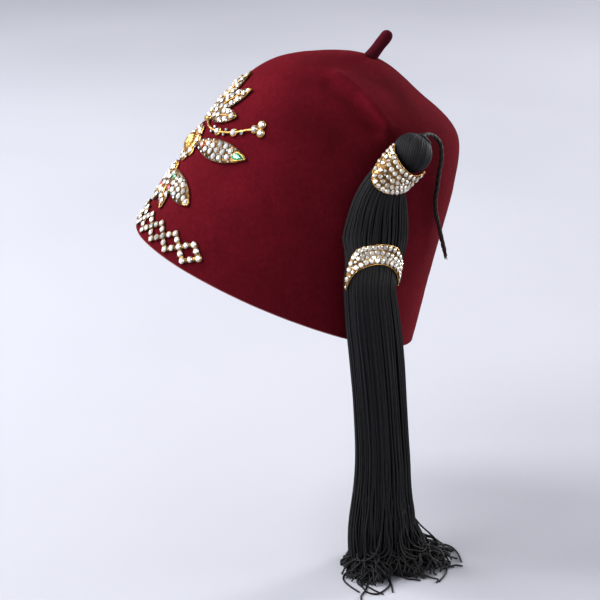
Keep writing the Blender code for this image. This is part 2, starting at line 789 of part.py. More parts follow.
def cord_object(finish):
    """The free cord, as a round tube along its route."""
    curve = bpy.data.curves.new("tassel_cord", "CURVE")
    curve.dimensions = "3D"
    curve.bevel_depth = CORD_DIAMETER / 2 * MM
    curve.bevel_resolution = 2
    curve.use_fill_caps = True
    route = smooth_route(CORD_ROUTE, CORD_STEP)
    spline = curve.splines.new("POLY")
    spline.points.add(len(route) - 1)
    for spot, point in zip(spline.points, route):
        spot.co = (*(point * MM), 1.0)
    curve.materials.append(finish)
    made = bpy.data.objects.new("tassel_cord", curve)
    bpy.context.scene.collection.objects.link(made)


def main():
    clear_scene()
    felt = material("felt", (0.135, 0.008, 0.020), 0.95)
    stem_felt = material("stem_felt", (0.070, 0.006, 0.014), 0.95)
    thread = material("thread", (0.012, 0.013, 0.014), 0.60)
    stone_set = material("stone_set_metal", (0.80, 0.66, 0.42), 0.25, 1.0)

    axis = bpy.data.objects.new("hat_axis", None)
    axis.rotation_euler = (-math.radians(TIPPED_BACK), 0.0, 0.0)
    bpy.context.scene.collection.objects.link(axis)

    crown = crown_mesh()
    place("crown", crown, felt, axis)
    place("stem", stem_mesh(crown_tree(crown)), stem_felt, axis)
    place("ornament_crest", crest_mesh(), stone_set, axis)
    place("ornament_rosette", rosette_mesh(), stone_set, axis)
    place("ornament_drop", drop_mesh(), stone_set, axis)
    place("front_border", border_mesh(), stone_set, axis)

    place("tassel_knob", ball_mesh(), thread)
    locks = [lock_mesh(index) for index in range(LOCKS)]
    place("tassel", fused("tassel", [bundle_mesh(), *locks]), thread)
    place("tassel_collar", crescent_mesh(COLLAR), stone_set)
    place("tassel_clasp", crescent_mesh(CLASP), stone_set)
    cord_object(thread)
    bpy.context.view_layer.update()


main()
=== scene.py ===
"""The looks of the fez: pressed felt, stone-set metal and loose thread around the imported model.

Tables are in millimetres and degrees; MM turns a finished point into metres. They repeat the source's, but
the shoulder, the stem and the stones of the collar and clasp are finer here. The flat layouts of the
ornaments run across from the middle and up from the rim.
"""

from collections import namedtuple
from math import atan2, cos, dist, exp, pi, radians, sin, tan, tau
from random import Random

import bpy
import numpy as np
from mathutils import Matrix, Vector, noise
from mathutils.bvhtree import BVHTree


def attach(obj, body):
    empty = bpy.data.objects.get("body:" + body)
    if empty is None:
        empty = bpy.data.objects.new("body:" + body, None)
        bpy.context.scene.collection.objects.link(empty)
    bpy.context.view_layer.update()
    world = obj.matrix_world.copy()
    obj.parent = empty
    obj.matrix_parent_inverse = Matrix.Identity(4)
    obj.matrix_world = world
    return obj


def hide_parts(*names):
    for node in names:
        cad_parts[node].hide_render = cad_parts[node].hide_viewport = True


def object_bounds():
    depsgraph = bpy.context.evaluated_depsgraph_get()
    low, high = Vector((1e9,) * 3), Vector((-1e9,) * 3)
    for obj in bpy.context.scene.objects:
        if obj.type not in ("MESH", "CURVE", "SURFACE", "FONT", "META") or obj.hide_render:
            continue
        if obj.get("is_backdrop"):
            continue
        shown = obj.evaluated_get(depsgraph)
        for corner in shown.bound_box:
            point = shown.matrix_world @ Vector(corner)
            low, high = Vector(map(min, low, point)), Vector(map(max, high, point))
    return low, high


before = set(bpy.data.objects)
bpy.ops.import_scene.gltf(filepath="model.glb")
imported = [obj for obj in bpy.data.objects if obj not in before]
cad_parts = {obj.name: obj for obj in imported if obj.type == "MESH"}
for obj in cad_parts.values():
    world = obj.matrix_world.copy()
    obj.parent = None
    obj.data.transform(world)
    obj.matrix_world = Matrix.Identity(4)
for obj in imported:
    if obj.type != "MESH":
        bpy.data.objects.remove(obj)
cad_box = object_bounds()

MM = 0.001
WHITE = (1.0, 1.0, 1.0)

# ---- tables of the shape ----
TIPPED_BACK = 23.5
LEAN = Matrix.Rotation(-radians(TIPPED_BACK), 3, "X")
FELT = 2.6
WIDTH_SHARE = 0.83
APEX = 3.0
GAP = 0.3

Ring = namedtuple("Ring", "name station front_reach front_height back_reach back_height")
PROFILE = (
    Ring("rim", 0.00, 102.5, 0.0, 102.5, 0.0),
    Ring("mid_wall", 0.50, 94.4, 42.9, 92.7, 55.8),
    Ring("wall_top", 1.00, 86.2, 85.7, 83.0, 111.7),
    Ring("shoulder", 1.45, 69.8, 129.0, 72.2, 140.8),
    Ring("top_edge", 2.10, 39.9, 154.0, 40.0, 155.6),
    Ring("apex", APEX, 0.0, 166.3, 0.0, 166.3),
    Ring("past_apex", 3.90, -39.9, 154.0, -40.0, 155.6),
)
REACHES = ("front_reach", "front_height", "back_reach", "back_height")
TOP_HEIGHT = PROFILE[-2].front_height

# how the shoulder is pressed out or in: routes in the upright hat, of a fold and of the valley before it
Press = namedtuple("Press", "name spread outward route")
FOLD = ((35, -27, 151.5), (42, -21.5, 151.5), (48, -14, 149))
FOLD += ((53.5, -6.5, 145.2), (59, 2.6, 140), (61, 9, 136))
VALLEY = ((40, -30, 143.5), (45.5, -23, 143.5), (50.5, -16, 142))
VALLEY += ((55, -8.5, 139), (59, 0, 134.3), (61, 5, 131.5))
PRESSES = (
    Press("lift", 13.0, 2.2, ((42, -20, 151), (53, -6.5, 145.5), (58, 2.6, 140))),
    Press("hollow", 11.0, -2.0, ((41, -36, 140), (61, -4, 130))),
    Press("valley", 5.0, -2.6, VALLEY),
    Press("fold", 4.5, 2.4, FOLD),
)

# painted light and shade of the felt: lighter or darker along routes in the upright hat
PaintedShading = namedtuple("PaintedShading", "name spread change route")
FOLD_EDGE = ((49.5, -12, 146.2), (53.2, -7.2, 143.6), (58.4, 2, 138.1), (60.5, 7, 135.5))
FOLD_FOOT = ((42, -30, 139), (49, -21, 138.5), (54, -15, 137), (58, -8, 134), (61, -1, 129))
PAINTED_SHADING = (
    # a painted highlight on the fold's edge, painted shade at its foot and behind and below it, the cord's
    # painted shadow at cord_side
    PaintedShading("fold_edge", 2.6, 0.38, FOLD_EDGE),
    PaintedShading("fold_start", 5.0, 0.12, ((38, -25.5, 150), (49.5, -12, 146.2))),
    PaintedShading("fold_foot", 4.5, -0.18, FOLD_FOOT),
    PaintedShading("behind_fold", 10.0, -0.30, ((29.5, 7.8, 156.6), (33.5, 14.6, 154), (40, 20.7, 150.1))),
    PaintedShading("below_fold", 11.0, -0.22, ((52, -43, 118), (59.9, -30.2, 116.7), (63.5, -22, 114.2))),
    PaintedShading("front_side", 13.0, 0.20, ((55.4, -61, 62), (54.5, -58.9, 76), (54, -53, 86))),
    PaintedShading("front_top", 12.0, 0.15, ((19.2, -67.4, 127), (30, -60, 118))),
    PaintedShading("cord_side", 10.0, -0.22, ((53, 54.8, 106), (52.3, 61.8, 86.5))),
    PaintedShading("back_low", 12.0, 0.20, ((31.6, 89.3, 30.5), (33, 84, 20))),
    PaintedShading("top", 15.0, -0.20, ((14.9, -31, 156.2), (21.6, -18.8, 158.3))),
    PaintedShading("back_edge", 8.0, 0.12, ((37.3, 61.6, 132.7), (39.6, 66.2, 117))),
)

STEM_FOOT = (3.0, -3.6)
STEM_LEAN = 14.0
StemRing = namedtuple("StemRing", "station radius")
STEM = (
    StemRing(0.0, 4.6),
    StemRing(1.2, 4.4),
    StemRing(3.0, 4.2),
    StemRing(8.0, 4.0),
    StemRing(15.0, 4.15),
    StemRing(17.6, 3.8),
    StemRing(19.4, 2.7),
    StemRing(20.3, 1.2),
)

PLATE_FOOT = 0.6
PLATE_TOP = 1.5
Leaf = namedtuple("Leaf", "plate across up heading length half_width rows")
LEAVES = (
    Leaf("ornament_crest", 0, 91.5, 0, 39, 6.6, 2),
    Leaf("ornament_crest", 0, 91.5, 36, 37, 6.4, 2),
    Leaf("ornament_crest", 0, 91.5, 72, 31, 6.0, 2),
    Leaf("ornament_rosette", 9, 73, 84, 47, 7.4, 3),
    Leaf("ornament_drop", 0, 49.5, 180, 26, 5.8, 2),
    Leaf("ornament_drop", 0, 49.5, 144, 32, 6.2, 2),
    Leaf("ornament_drop", 0, 49.5, 108, 43, 7.4, 3),
)
LEAF_STONE = 2.05
LEAF_PITCH = 4.75
LEAF_STONE_SPACE = 0.25
LEAF_FIRST = {"ornament_crest": 7.5, "ornament_rosette": 11.5, "ornament_drop": 7.5}
LEAF_SINGLE_UNTIL = 13.0
LEAF_BARE_TIP = 1.6
MARGIN = 0.55
HUB_RADIUS = 4.9
SPRIG_ROUTE = ((3.0, 88.6), (12.0, 85.8), (24.0, 86.4), (36.0, 90.8), (46.0, 98.0))
SPRIG_BERRIES = ((24.0, 86.4), (36.0, 90.8), (46.5, 98.5), (51.4, 97.7), (48.3, 103.2))
BERRY = 2.15
BERRY_PLATE = 2.9
ROSETTE_UP = 70.0
ROSETTE_PETALS = 8
PETAL_REACH = 10.6
PETAL_PLATE = 3.9
PETAL_STONE = 2.4
PETAL_DISC = 11.8
BORDER_LOZENGES = 9
BORDER_PITCH = 15.2
BORDER_UP = 11.0
BORDER_RISE = 6.3
BORDER_STROKE = 2.3
BORDER_STONE = 2.0
Crescent = namedtuple("Crescent", "name horns_along rise thickness half_span aside horns rows stone")
COLLAR = Crescent("tassel_collar", 3.0, 25.0, 15.8, 17.8, -3.0, "up", 5, 1.54)
CLASP = Crescent("tassel_clasp", 89.0, 28.5, 14.6, 27.0, 1.0, "down", 4, 1.74)
Arc = namedtuple("Arc", "radius middle reach")
CRESCENT_EDGE = 0.05
CRESCENT_SPACE = 0.05
CRESCENT_STEPS = 400
HORN_BLUNT = 0.06
SMALLEST_STONE = 0.55
CLAWED_FROM = 1.4
BENT_PLATE_FOOT = 0.65

FLOOR = -172.0
BALL_RADIUS = 12.6
Section = namedtuple("Section", "name station x y z half_width half_depth facing hug")
SPINE = (
    Section("ball", 0, 73.2, 76.5, 105.8, 13.0, 13.0, 20, 0),
    Section("under_ball", 9, 74.9, 70.6, 99.7, 12.4, 11.4, 17, 0),
    Section("neck", 19, 77.0, 62.2, 91.5, 13.0, 9.2, 15, 0.5),
    Section("collar_end", 28, 77.8, 58.2, 83.2, 16.2, 8.5, 14, 1),
    Section("fan_top", 39, 78.8, 55.9, 72.8, 19.4, 8.0, 13, 2),
    Section("fan_low", 54, 79.7, 54.5, 57.3, 22.4, 7.9, 14, 3),
    Section("fan_end", 63, 80.9, 53.3, 47.6, 22.8, 8.3, 15, 3),
    Section("waist_top", 70.5, 82.7, 51.3, 40.2, 20.2, 9.6, 17, 2),
    Section("waist", 77, 85.2, 50.0, 34.3, 18.6, 11.0, 18, 1),
    Section("waist_end", 84, 87.2, 48.3, 26.9, 17.8, 12.6, 18, 0),
    Section("skirt_top", 90, 87.9, 48.1, 20.4, 17.3, 13.0, 19, 0),
    Section("rim_front", 109, 87.4, 50.3, 0.0, 18.1, 13.2, 20, 0),
    Section("rim_back", 124, 87.0, 52.2, -15.0, 18.2, 13.2, 20, 0),
    Section("free_top", 160, 86.9, 55.4, -50.0, 17.9, 14.0, 20, 0),
    Section("free_mid", 205, 87.2, 58.6, -95.0, 18.6, 14.8, 20, 0),
    Section("free_low", 245, 88.0, 60.2, -135.0, 21.0, 16.4, 20, 0),
    Section("bell", 265, 88.5, 63.6, -155.0, 26.0, 19.0, 20, 0),
    Section("ends", 282, 88.5, 65.0, FLOOR, 29.0, 23.0, 20, 0),
)
SECTION_COLUMNS = ("x", "y", "z", "half_width", "half_depth", "facing", "hug")
TASSEL_TOP = 13.4
# reach of the strands over the floor, a step of 30 degrees round it from +X to +Y
END_REACHES = (24, 30, 37, 44, 42, 34, 30, 28, 29, 31, 36, 38)

CORD_DIAMETER = 3.0
CORD_ROUTE = (
    (65.15, 84.05, 114.15),
    (61.1, 87.6, 114.2),
    (55.8, 91.6, 112.9),
    (51.0, 96.4, 109.8),
    (48.6, 100.4, 104.4),
    (49.0, 101.4, 95.0),
    (50.6, 99.6, 85.6),
    (51.2, 98.6, 76.6),
    (51.0, 97.6, 68.0),
    (48.9, 98.8, 58.4),
    (45.0, 101.6, 49.6),
    (41.5, 105.0, 38.0),
    (39.5, 108.4, 26.0),
)


# ---- curves and surfaces ----


def unit(vectors):
    return vectors / np.linalg.norm(vectors, axis=-1, keepdims=True)


class Draw(Random):
    """Seeded random numbers; a call gives one between two values."""

    __call__ = Random.uniform


def held(share):
    """A share kept between 0 and 1."""
    return min(1.0, max(0.0, share))


def smooth_row(rows, station, columns):
    """The named columns at a station, on a smooth curve through the table's rows."""
    last = len(rows) - 1
    low = 0
    while low < last - 1 and rows[low + 1].station <= station:
        low += 1

    def slope(index, column):
        before, after = rows[max(index - 1, 0)], rows[min(index + 1, last)]
        return (getattr(after, column) - getattr(before, column)) / (after.station - before.station)

    start, end = rows[low], rows[low + 1]
    step = end.station - start.station
    q = (station - start.station) / step
    values = []
    for column in columns:
        a, b = getattr(start, column), getattr(end, column)
        bend = (q**3 - 2 * q**2 + q) * step * slope(low, column)
        bend += (q**3 - q**2) * step * slope(low + 1, column)
        values.append(a + (b - a) * (3 * q**2 - 2 * q**3) + bend)
    return np.array(values)


def smooth_route(points, step):
    """Points about one step apart on a smooth curve through the given points."""
    columns = "xyz"[: len(points[0])]
    stop = namedtuple("Stop", ["station", *columns])
    stops, run = [], 0.0
    for point, before in zip(points, [points[0], *points]):
        run += dist(point, before)
        stops.append(stop(run, *point))
    count = max(2, round(run / step))
    return np.array([smooth_row(stops, run * i / count, columns) for i in range(count + 1)])


def bend_between(start, first, second, end, shares):
    """Points at shares of a bend whose two ends are drawn towards two handles."""
    weights = [((1 - q) ** 3, 3 * q * (1 - q) ** 2, 3 * q**2 * (1 - q), q**3) for q in shares]
    return [a * start + b * first + c * second + d * end for a, b, c, d in weights]


def crown_skin(turns, station):
    """Points of the felt's outer face, upright, before it is pressed."""
    front_reach, front_height, back_reach, back_height = smooth_row(PROFILE, station, REACHES)
    turns = np.asarray(turns, float)
    front = 0.5 - 0.5 * np.sin(turns)
    reach = front_reach * front + back_reach * (1 - front)
    height = front_height * front + back_height * (1 - front)
    half_width = 0.5 * (front_reach + back_reach) * WIDTH_SHARE
    return np.stack([half_width * np.cos(turns), reach * np.sin(turns), height], -1)


def crown_normal(turns, station):
    step = 0.01
    station = min(station, APEX - 2 * step)
    around = crown_skin(turns + step, station) - crown_skin(turns - step, station)
    rise = crown_skin(turns, station + step) - crown_skin(turns, station - step)
    return unit(np.cross(around, rise))


def near_route(points, entry):
    """1 on the route of a press or of painted light and shade, falling softly to 0 away from it."""
    away = np.full(points.shape[:-1], np.inf)
    for start, end in zip(entry.route, entry.route[1:]):
        start, way = np.array(start, float), np.subtract(end, start)
        share = np.clip((points - start) @ way / (way @ way), 0, 1)
        away = np.minimum(away, np.linalg.norm(points - start - share[..., None] * way, axis=-1))
    return np.exp(-((away / entry.spread) ** 2))


def crown_point(turns, station, outward=0.0):
    """Points of the felt's outer face with its presses, or outward of it."""
    turns = np.asarray(turns, float)
    points = crown_skin(turns, station)
    pressed = sum(press.outward * near_route(points, press) for press in PRESSES)
    return points + crown_normal(turns, station) * (pressed + outward)[..., None]


def leaned(points):
    """Upright points of the hat, tipped back."""
    return np.asarray(points) @ np.array(LEAN).T


def front_stations(steps=600):
    """Station of the profile for each millimetre up the front from the rim."""
    stations, run = [0.0], 0.0
    spots = [crown_skin(-pi / 2, APEX * index / steps) for index in range(steps + 1)]
    for index in range(steps):
        run += float(np.linalg.norm(spots[index + 1] - spots[index]))
        while len(stations) <= run:
            stations.append(APEX * (index + 1) / steps)
    return stations


FRONT_STATIONS = front_stations()


def on_crown(across, up, height):
    """Bends the flat layout of the front onto the felt."""
    low = int(up)
    station = FRONT_STATIONS[low] + (up - low) * (FRONT_STATIONS[low + 1] - FRONT_STATIONS[low])
    half_width = float(crown_skin(0.0, station)[0])
    return leaned(crown_point(-pi / 2 + across / half_width, station, height))


def tassel_point(station, turn, outward=0.0, depth=1.0):
    """A point round the tassel; turn 0 faces away from the felt, and depth 0 is its middle."""
    x, y, z, half_width, half_depth, facing, hug = smooth_row(SPINE, station, SECTION_COLUMNS)
    ahead = smooth_row(SPINE, min(station + 1.0, SPINE[-1].station), "xyz")
    behind = smooth_row(SPINE, max(station - 1.0, 0.0), "xyz")
    rise = unit(behind - ahead)
    side = unit(np.cross(rise, level_way(radians(facing))))
    out = (half_depth + outward) * cos(turn) - hug * sin(turn) ** 2
    return (x, y, z) + depth * (np.cross(side, rise) * out + side * (half_width + outward) * sin(turn))


def level_way(angle, rise=0.0):
    return np.array([cos(angle), sin(angle), rise])


def on_tassel(across, up, height):
    """Bends a flat layout round the tassel; up is minus the distance down the spine."""
    half_width = smooth_row(SPINE, -up, ["half_width"])[0]
    return tassel_point(-up, across / half_width, height)


# ---- shapes ----


def linked(name, data):
    """A new object of the scene."""
    made = bpy.data.objects.new(name, data)
    bpy.context.scene.collection.objects.link(made)
    return made


class Shape:
    """Points and faces in millimetres, each face with a material number, a tint and its shading.

    bend puts a point of a flat layout (across, up, height) on a surface.
    """

    def __init__(self, bend=None):
        self.bend = bend
        self.points, self.faces, self.slots, self.tints, self.smooth = [], [], [], [], []
        self.count = 0

    def add(self, points, faces, slot=0, tint=WHITE, smooth=True):
        """Adds a part. tint is one colour, or a list of one for each face."""
        points = np.asarray(points, float).reshape(-1, 3)
        self.points.append(points)
        self.faces += [tuple(index + self.count for index in face) for face in faces]
        self.count += len(points)
        self.slots += [slot] * len(faces)
        self.smooth += [smooth] * len(faces)
        self.tints += tint if isinstance(tint, list) else [tint] * len(faces)

    def piece(self, name, materials, slot, *nodes):
        """The finished object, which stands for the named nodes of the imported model."""
        mesh = bpy.data.meshes.new(name)
        mesh.from_pydata((np.concatenate(self.points) * MM).tolist(), [], self.faces)
        for material in materials:
            mesh.materials.append(material)
        mesh.polygons.foreach_set("material_index", self.slots)
        mesh.polygons.foreach_set("use_smooth", self.smooth)
        tint = mesh.attributes.new("tint", "FLOAT_COLOR", "CORNER")
        sizes = [len(face) for face in self.faces]
        colours = np.repeat(np.array([(*value, 1.0) for value in self.tints]), sizes, axis=0)
        tint.data.foreach_set("color", colours.ravel())
        mesh.update()
        made = linked(name, mesh)
        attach(made, "root")
        if nodes:
            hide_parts(*nodes)
        return made


def grid_faces(rows, columns):
    """Quads of a grid of points that closes round, stored row by row."""
    faces = []
    for row in range(rows - 1):
        for column in range(columns):
            a = row * columns + column
            b = row * columns + (column + 1) % columns
            faces.append((a, b, b + columns, a + columns))
    return faces


def loft(shape, rings, caps=(True, True), **finish):
    """A skin through rings of points, with an end to a middle point where caps says so."""
    columns = len(rings[0])
    points = list(np.concatenate([np.asarray(ring) for ring in rings]))
    faces = grid_faces(len(rings), columns)
    for cap, first in zip(caps, (0, (len(rings) - 1) * columns)):
        if cap:
            points.append(np.mean(points[first : first + columns], axis=0))
            for side in range(columns):
                a, b = first + side, first + (side + 1) % columns
                faces.append((*((a, b) if first else (b, a)), len(points) - 1))
    shape.add(points, faces, **finish)


def tube(shape, path, radius, sides, squeeze=None, **finish):
    """A tube along a path, without twist; squeeze gives each ring's share of the radius by side."""
    path = np.asarray(path, float)
    radius = np.broadcast_to(np.asarray(radius, float), len(path))
    ahead = np.gradient(path, axis=0)
    ahead /= np.linalg.norm(ahead, axis=1, keepdims=True) + 1e-12
    seed = np.eye(3)[int(np.argmin(np.abs(ahead[0])))]
    normal = np.cross(ahead[0], seed)
    turns = tau * np.arange(sides) / sides
    rings = []
    for index, way in enumerate(ahead):
        normal = normal - way * (normal @ way)
        normal = normal / (np.linalg.norm(normal) + 1e-12)
        ring = normal * np.cos(turns)[:, None] + np.cross(way, normal) * np.sin(turns)[:, None]
        share = 1.0 if squeeze is None else squeeze[index][:, None]
        rings.append(path[index] + ring * radius[index] * share)
    loft(shape, rings, **finish)


# ---- materials ----


def set_values(node, values):
    """Sets a node's properties and sockets, by name with _ for a space."""
    for key, value in values.items():
        if hasattr(node, key):
            setattr(node, key, value)
        else:
            node.inputs[key.replace("_", " ")].default_value = value
    return node


class Surface:
    """A material of nodes; its values are the shader's."""

    def __init__(self, name, **values):
        self.material = bpy.data.materials.new(name)
        self.material.use_nodes = True
        self.tree = self.material.node_tree
        self.shader = set_values(self.tree.nodes["Principled BSDF"], values)

    def node(self, kind, **values):
        return set_values(self.tree.nodes.new(f"ShaderNode{kind}"), values)

    def feed(self, value, socket="Base Color"):
        self.tree.links.new(value, self.shader.inputs[socket])

    def noise(self, scale, detail=3.0, roughness=0.55):
        place = self.node("TexCoord")
        texture = self.node("TexNoise", Scale=scale, Detail=detail, Roughness=roughness)
        self.tree.links.new(place.outputs["Object"], texture.inputs["Vector"])
        return texture.outputs["Fac"]

    def painted(self, attribute):
        return self.node("Attribute", attribute_name=attribute).outputs["Color"]

    def ramp(self, value, *stops):
        """A colour ramp over a value, from (position, colour or grey) stops."""
        node = self.node("ValToRGB")
        elements = node.color_ramp.elements
        while len(elements) < len(stops):
            elements.new(0.5)
        for element, (position, colour) in zip(elements, stops):
            element.position = position
            element.color = (*(colour if isinstance(colour, tuple) else (colour,) * 3), 1.0)
        self.tree.links.new(value, node.inputs["Fac"])
        return node.outputs["Color"]

    def mixed(self, kind, factor, a, b):
        node = self.node("Mix", data_type="RGBA", blend_type=kind)
        for socket, value in ((node.inputs[0], factor), (node.inputs[6], a), (node.inputs[7], b)):
            if isinstance(value, bpy.types.NodeSocket):
                self.tree.links.new(value, socket)
            else:
                socket.default_value = value if isinstance(value, float) else (*value, 1.0)
        return node.outputs[2]

    def times(self, a, b):
        return self.mixed("MULTIPLY", 1.0, a, b)

    def bump(self, height, strength, distance):
        bump = self.node("Bump", Strength=strength, Distance=distance)
        self.tree.links.new(height, bump.inputs["Height"])
        self.feed(bump.outputs["Normal"], "Normal")


def felt_material(name, dark, light, fibre, with_painted_shading=False):
    """Pressed wool: a slow mottle, a fine fibre grain and a soft sheen."""
    felt = Surface(
        name,
        Roughness=0.92,
        Sheen_Weight=0.03,
        Sheen_Roughness=0.40,
        Sheen_Tint=(1.0, 0.10, 0.10, 1.0),
        Specular_IOR_Level=0.02,
    )
    mottle = felt.ramp(felt.noise(70.0, 4.0), (0.30, dark), (0.72, light))
    grain = felt.noise(1500.0, 5.0, 0.7)
    shade = felt.ramp(grain, (0.30, (0.78, 0.76, 0.76)), (0.66, (1.14, 1.10, 1.10)))
    nap = felt.ramp(felt.noise(330.0, 5.0, 0.68), (0.32, (0.84, 0.82, 0.83)), (0.68, (1.12, 1.10, 1.10)))
    colour = felt.times(felt.times(mottle, nap), shade)
    flecks = felt.ramp(felt.noise(3600.0, 2.0), (0.60, 0.0), (0.74, 1.0))
    colour = felt.mixed("MIX", flecks, colour, fibre)
    # painted light and shade of the crown, read from its points
    if with_painted_shading:
        shades = felt.painted("nap")
        colour = felt.times(colour, shades)
    felt.feed(colour)
    felt.bump(grain, 0.55, 0.0005)
    return felt.material


def thread_material(name, colour):
    """Silky thread: near black, each strand with its own tint."""
    thread = Surface(name, Roughness=0.60, Sheen_Weight=0.03, Sheen_Roughness=0.35, Specular_IOR_Level=0.14)
    tint = thread.painted("tint")
    streak = thread.ramp(thread.noise(420.0), (0.3, 0.7), (0.7, 1.3))
    thread.feed(thread.times(thread.times(tint, colour), streak))
    thread.bump(thread.noise(2600.0), 0.35, 0.0002)
    return thread.material


def gold_material(name, deep, middle, worn):
    gold = Surface(name, Roughness=0.28, Metallic=1.0)
    wear = gold.noise(300.0, 4.0)
    gold.feed(gold.ramp(wear, (0.30, deep), (0.50, middle), (0.75, worn)))
    gold.feed(gold.ramp(wear, (0.3, 0.42), (0.7, 0.20)), "Roughness")
    gold.bump(gold.noise(900.0, 2.0), 0.25, 0.0002)
    return gold.material


def stone_material(name):
    """Foil-backed glass: each facet has its own painted brightness, a painted reflection, under a clear
    gloss.
    """
    stone = Surface(name, Roughness=0.16, Metallic=0.30, Coat_Weight=1.0, Coat_Roughness=0.03)
    tint = stone.painted("tint")
    cloud = stone.ramp(stone.noise(700.0, 2.0), (0.3, (0.88, 0.88, 0.90)), (0.7, WHITE))
    stone.feed(stone.times(tint, cloud))
    return stone.material


# ---- camera, floor and light ----

VIEW_AZIMUTH = 82.0
VIEW_ELEVATION = 18.5
VIEW_DISTANCE = 1.2261
LENS = 108.0
SENSOR = 36.0
SHIFT = (0.0407, -0.0315)


def aim(made, way):
    """Points a camera or lamp along a direction."""
    made.rotation_mode = "QUATERNION"
    made.rotation_quaternion = way.to_track_quat("-Z", "Y")


def add_camera():
    azimuth = radians(VIEW_AZIMUTH)
    back = Vector((sin(azimuth), -cos(azimuth), tan(radians(VIEW_ELEVATION)))).normalized()
    data = bpy.data.cameras.new("camera")
    data.lens, data.sensor_width = LENS, SENSOR
    data.shift_x, data.shift_y = SHIFT
    data.clip_start, data.clip_end = 0.05, 50.0
    camera = linked("camera", data)
    camera.location = back * VIEW_DISTANCE
    aim(camera, -back)
    bpy.context.scene.camera = camera


CORD_PLIES = 3
CORD_SIDES = 18
CORD_TWIST = 0.30
CORD_GROOVE = 0.30
CORD_TAPER = np.linspace(1.0, 0.62, 8)
CORD_TOP_TINT = (1.5, 1.05, 0.95)
CORD_END_TINT = (4.2, 1.35, 0.85)
FRAY_THREADS = 12


def add_twist(finish, route):
    """Plies twisted together, browner to their end."""
    rows = np.arange(len(route))[:, None]
    around = tau * np.arange(CORD_SIDES) / CORD_SIDES
    squeeze = 1.0 - CORD_GROOVE * np.abs(np.cos(CORD_PLIES / 2 * (around - rows * CORD_TWIST))) ** 6
    radius = np.full(len(route), CORD_DIAMETER / 2)
    radius[-len(CORD_TAPER) :] *= CORD_TAPER
    top, end = np.array(CORD_TOP_TINT), np.array(CORD_END_TINT)
    tints = [top + (end - top) * (index / len(route)) ** 1.5 for index in range(len(route) - 1)]
    tints = np.repeat([*tints, top, end], CORD_SIDES, axis=0).tolist()
    shape = Shape()
    tube(shape, route, radius, CORD_SIDES, squeeze, tint=tints)
    return shape.piece("tassel_cord_twist", [finish], "thread", "tassel_cord")


def add_fray(finish, route):
    """Loose threads at the end of the route."""
    draw = Draw(5)
    shape = Shape()
    ahead = unit(route[-1] - route[-4])
    for _ in range(FRAY_THREADS):
        start = route[-len(CORD_TAPER)] + np.array([draw(-0.7, 0.7) for _ in range(3)])
        aside = np.array([draw(-0.8, 0.8) for _ in range(3)])
        end = route[-1] + ahead * draw(0.3, 2.4) + aside
        path = smooth_route([start, (start + end) / 2 + aside * 0.4, end], 0.9)
        tube(shape, path, np.linspace(0.45, 0.25, len(path)), 5, tint=CORD_END_TINT)
    return shape.piece("tassel_cord_fray", [finish], "thread")


def add_cord(finish):
    """The free cord with its frayed end."""
    route = smooth_route(CORD_ROUTE, 0.7)
    cord, fray = add_twist(finish, route), add_fray(finish, route)
    points = (smooth_route(CORD_ROUTE, 3.0) * MM).tolist()
    length = float(np.linalg.norm(np.diff(smooth_route(CORD_ROUTE, 1.0), axis=0), axis=1).sum()) * MM


FLOOR_HALF = 9.0


def add_stage():
    pale = Surface("floor", Roughness=0.85)
    pale.feed(pale.ramp(pale.noise(2.0, 2.0), (0.3, (0.435, 0.445, 0.505)), (0.7, (0.475, 0.485, 0.545))))
    mesh = bpy.data.meshes.new("floor")
    corners = [(x * FLOOR_HALF, y * FLOOR_HALF, FLOOR * MM) for x, y in ((-1, -1), (1, -1), (1, 1), (-1, 1))]
    mesh.from_pydata(corners, [], [(0, 1, 2, 3)])
    mesh.materials.append(pale.material)
    linked("floor", mesh)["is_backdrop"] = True


# the lamps that are gloss_only put reflections into the stones and the gold
Lamp = namedtuple("Lamp", "name x y z size power colour gloss_only")
LAMPS = (
    Lamp("key", 0.7, -1.6, 1.5, 0.9, 14.0, (1.0, 0.99, 0.97), False),
    Lamp("side", 0.0, -2.0, 0.7, 0.9, 13.0, (1.0, 0.99, 0.97), False),
    Lamp("high_side", -0.4, -1.4, 1.9, 0.9, 37.0, (1.0, 1.0, 0.98), False),
    Lamp("far_side", -1.3, -1.5, 1.1, 0.9, 28.0, (1.0, 0.99, 0.98), False),
    Lamp("back", -1.44, 2.88, 0.79, 1.12, 97.0, (1.0, 0.98, 0.96), False),
    Lamp("back_edge", 0.48, 3.2, 1.1, 1.44, 15.0, (1.0, 0.98, 0.96), False),
    Lamp("soft_box", 1.4, 1.2, 1.1, 1.6, 46.0, (1.0, 0.98, 0.94), True),
    Lamp("front_box", 0.9, -1.7, 0.9, 1.5, 38.0, (1.0, 0.99, 0.97), True),
)


def add_lights():
    world = bpy.data.worlds.new("studio")
    world.use_nodes = True
    set_values(world.node_tree.nodes["Background"], {"Color": (0.80, 0.82, 0.90, 1.0), "Strength": 0.45})
    bpy.context.scene.world = world
    for lamp in LAMPS:
        data = bpy.data.lights.new(lamp.name, "AREA")
        data.shape, data.size = "DISK", lamp.size
        data.energy, data.color = lamp.power, lamp.colour
        light = linked(lamp.name, data)
        light.visible_camera = False
        light.visible_diffuse = not lamp.gloss_only
        light.location = (lamp.x, lamp.y, lamp.z)
        aim(light, Vector((0.0, 0.0, 0.02)) - light.location)


# ---- felt ----

CROWN_TURNS = 300
WALL_ROWS = 60
DOME_ROWS = 66
INNER_ROWS = 40
FIRST_ROW = 0.008
# the cut edge: how far out from the outer face, and the height over the rim's plane
RIM_EDGE = ((-2.6, 0.75), (-2.35, 0.22), (-1.8, 0.0), (-0.8, 0.0), (-0.25, 0.22), (0.0, 0.75))
Unevenness = namedtuple("Unevenness", "size outward")
UNEVEN = (Unevenness(34.0, 0.45), Unevenness(9.0, 0.12), Unevenness(3.4, 0.05))


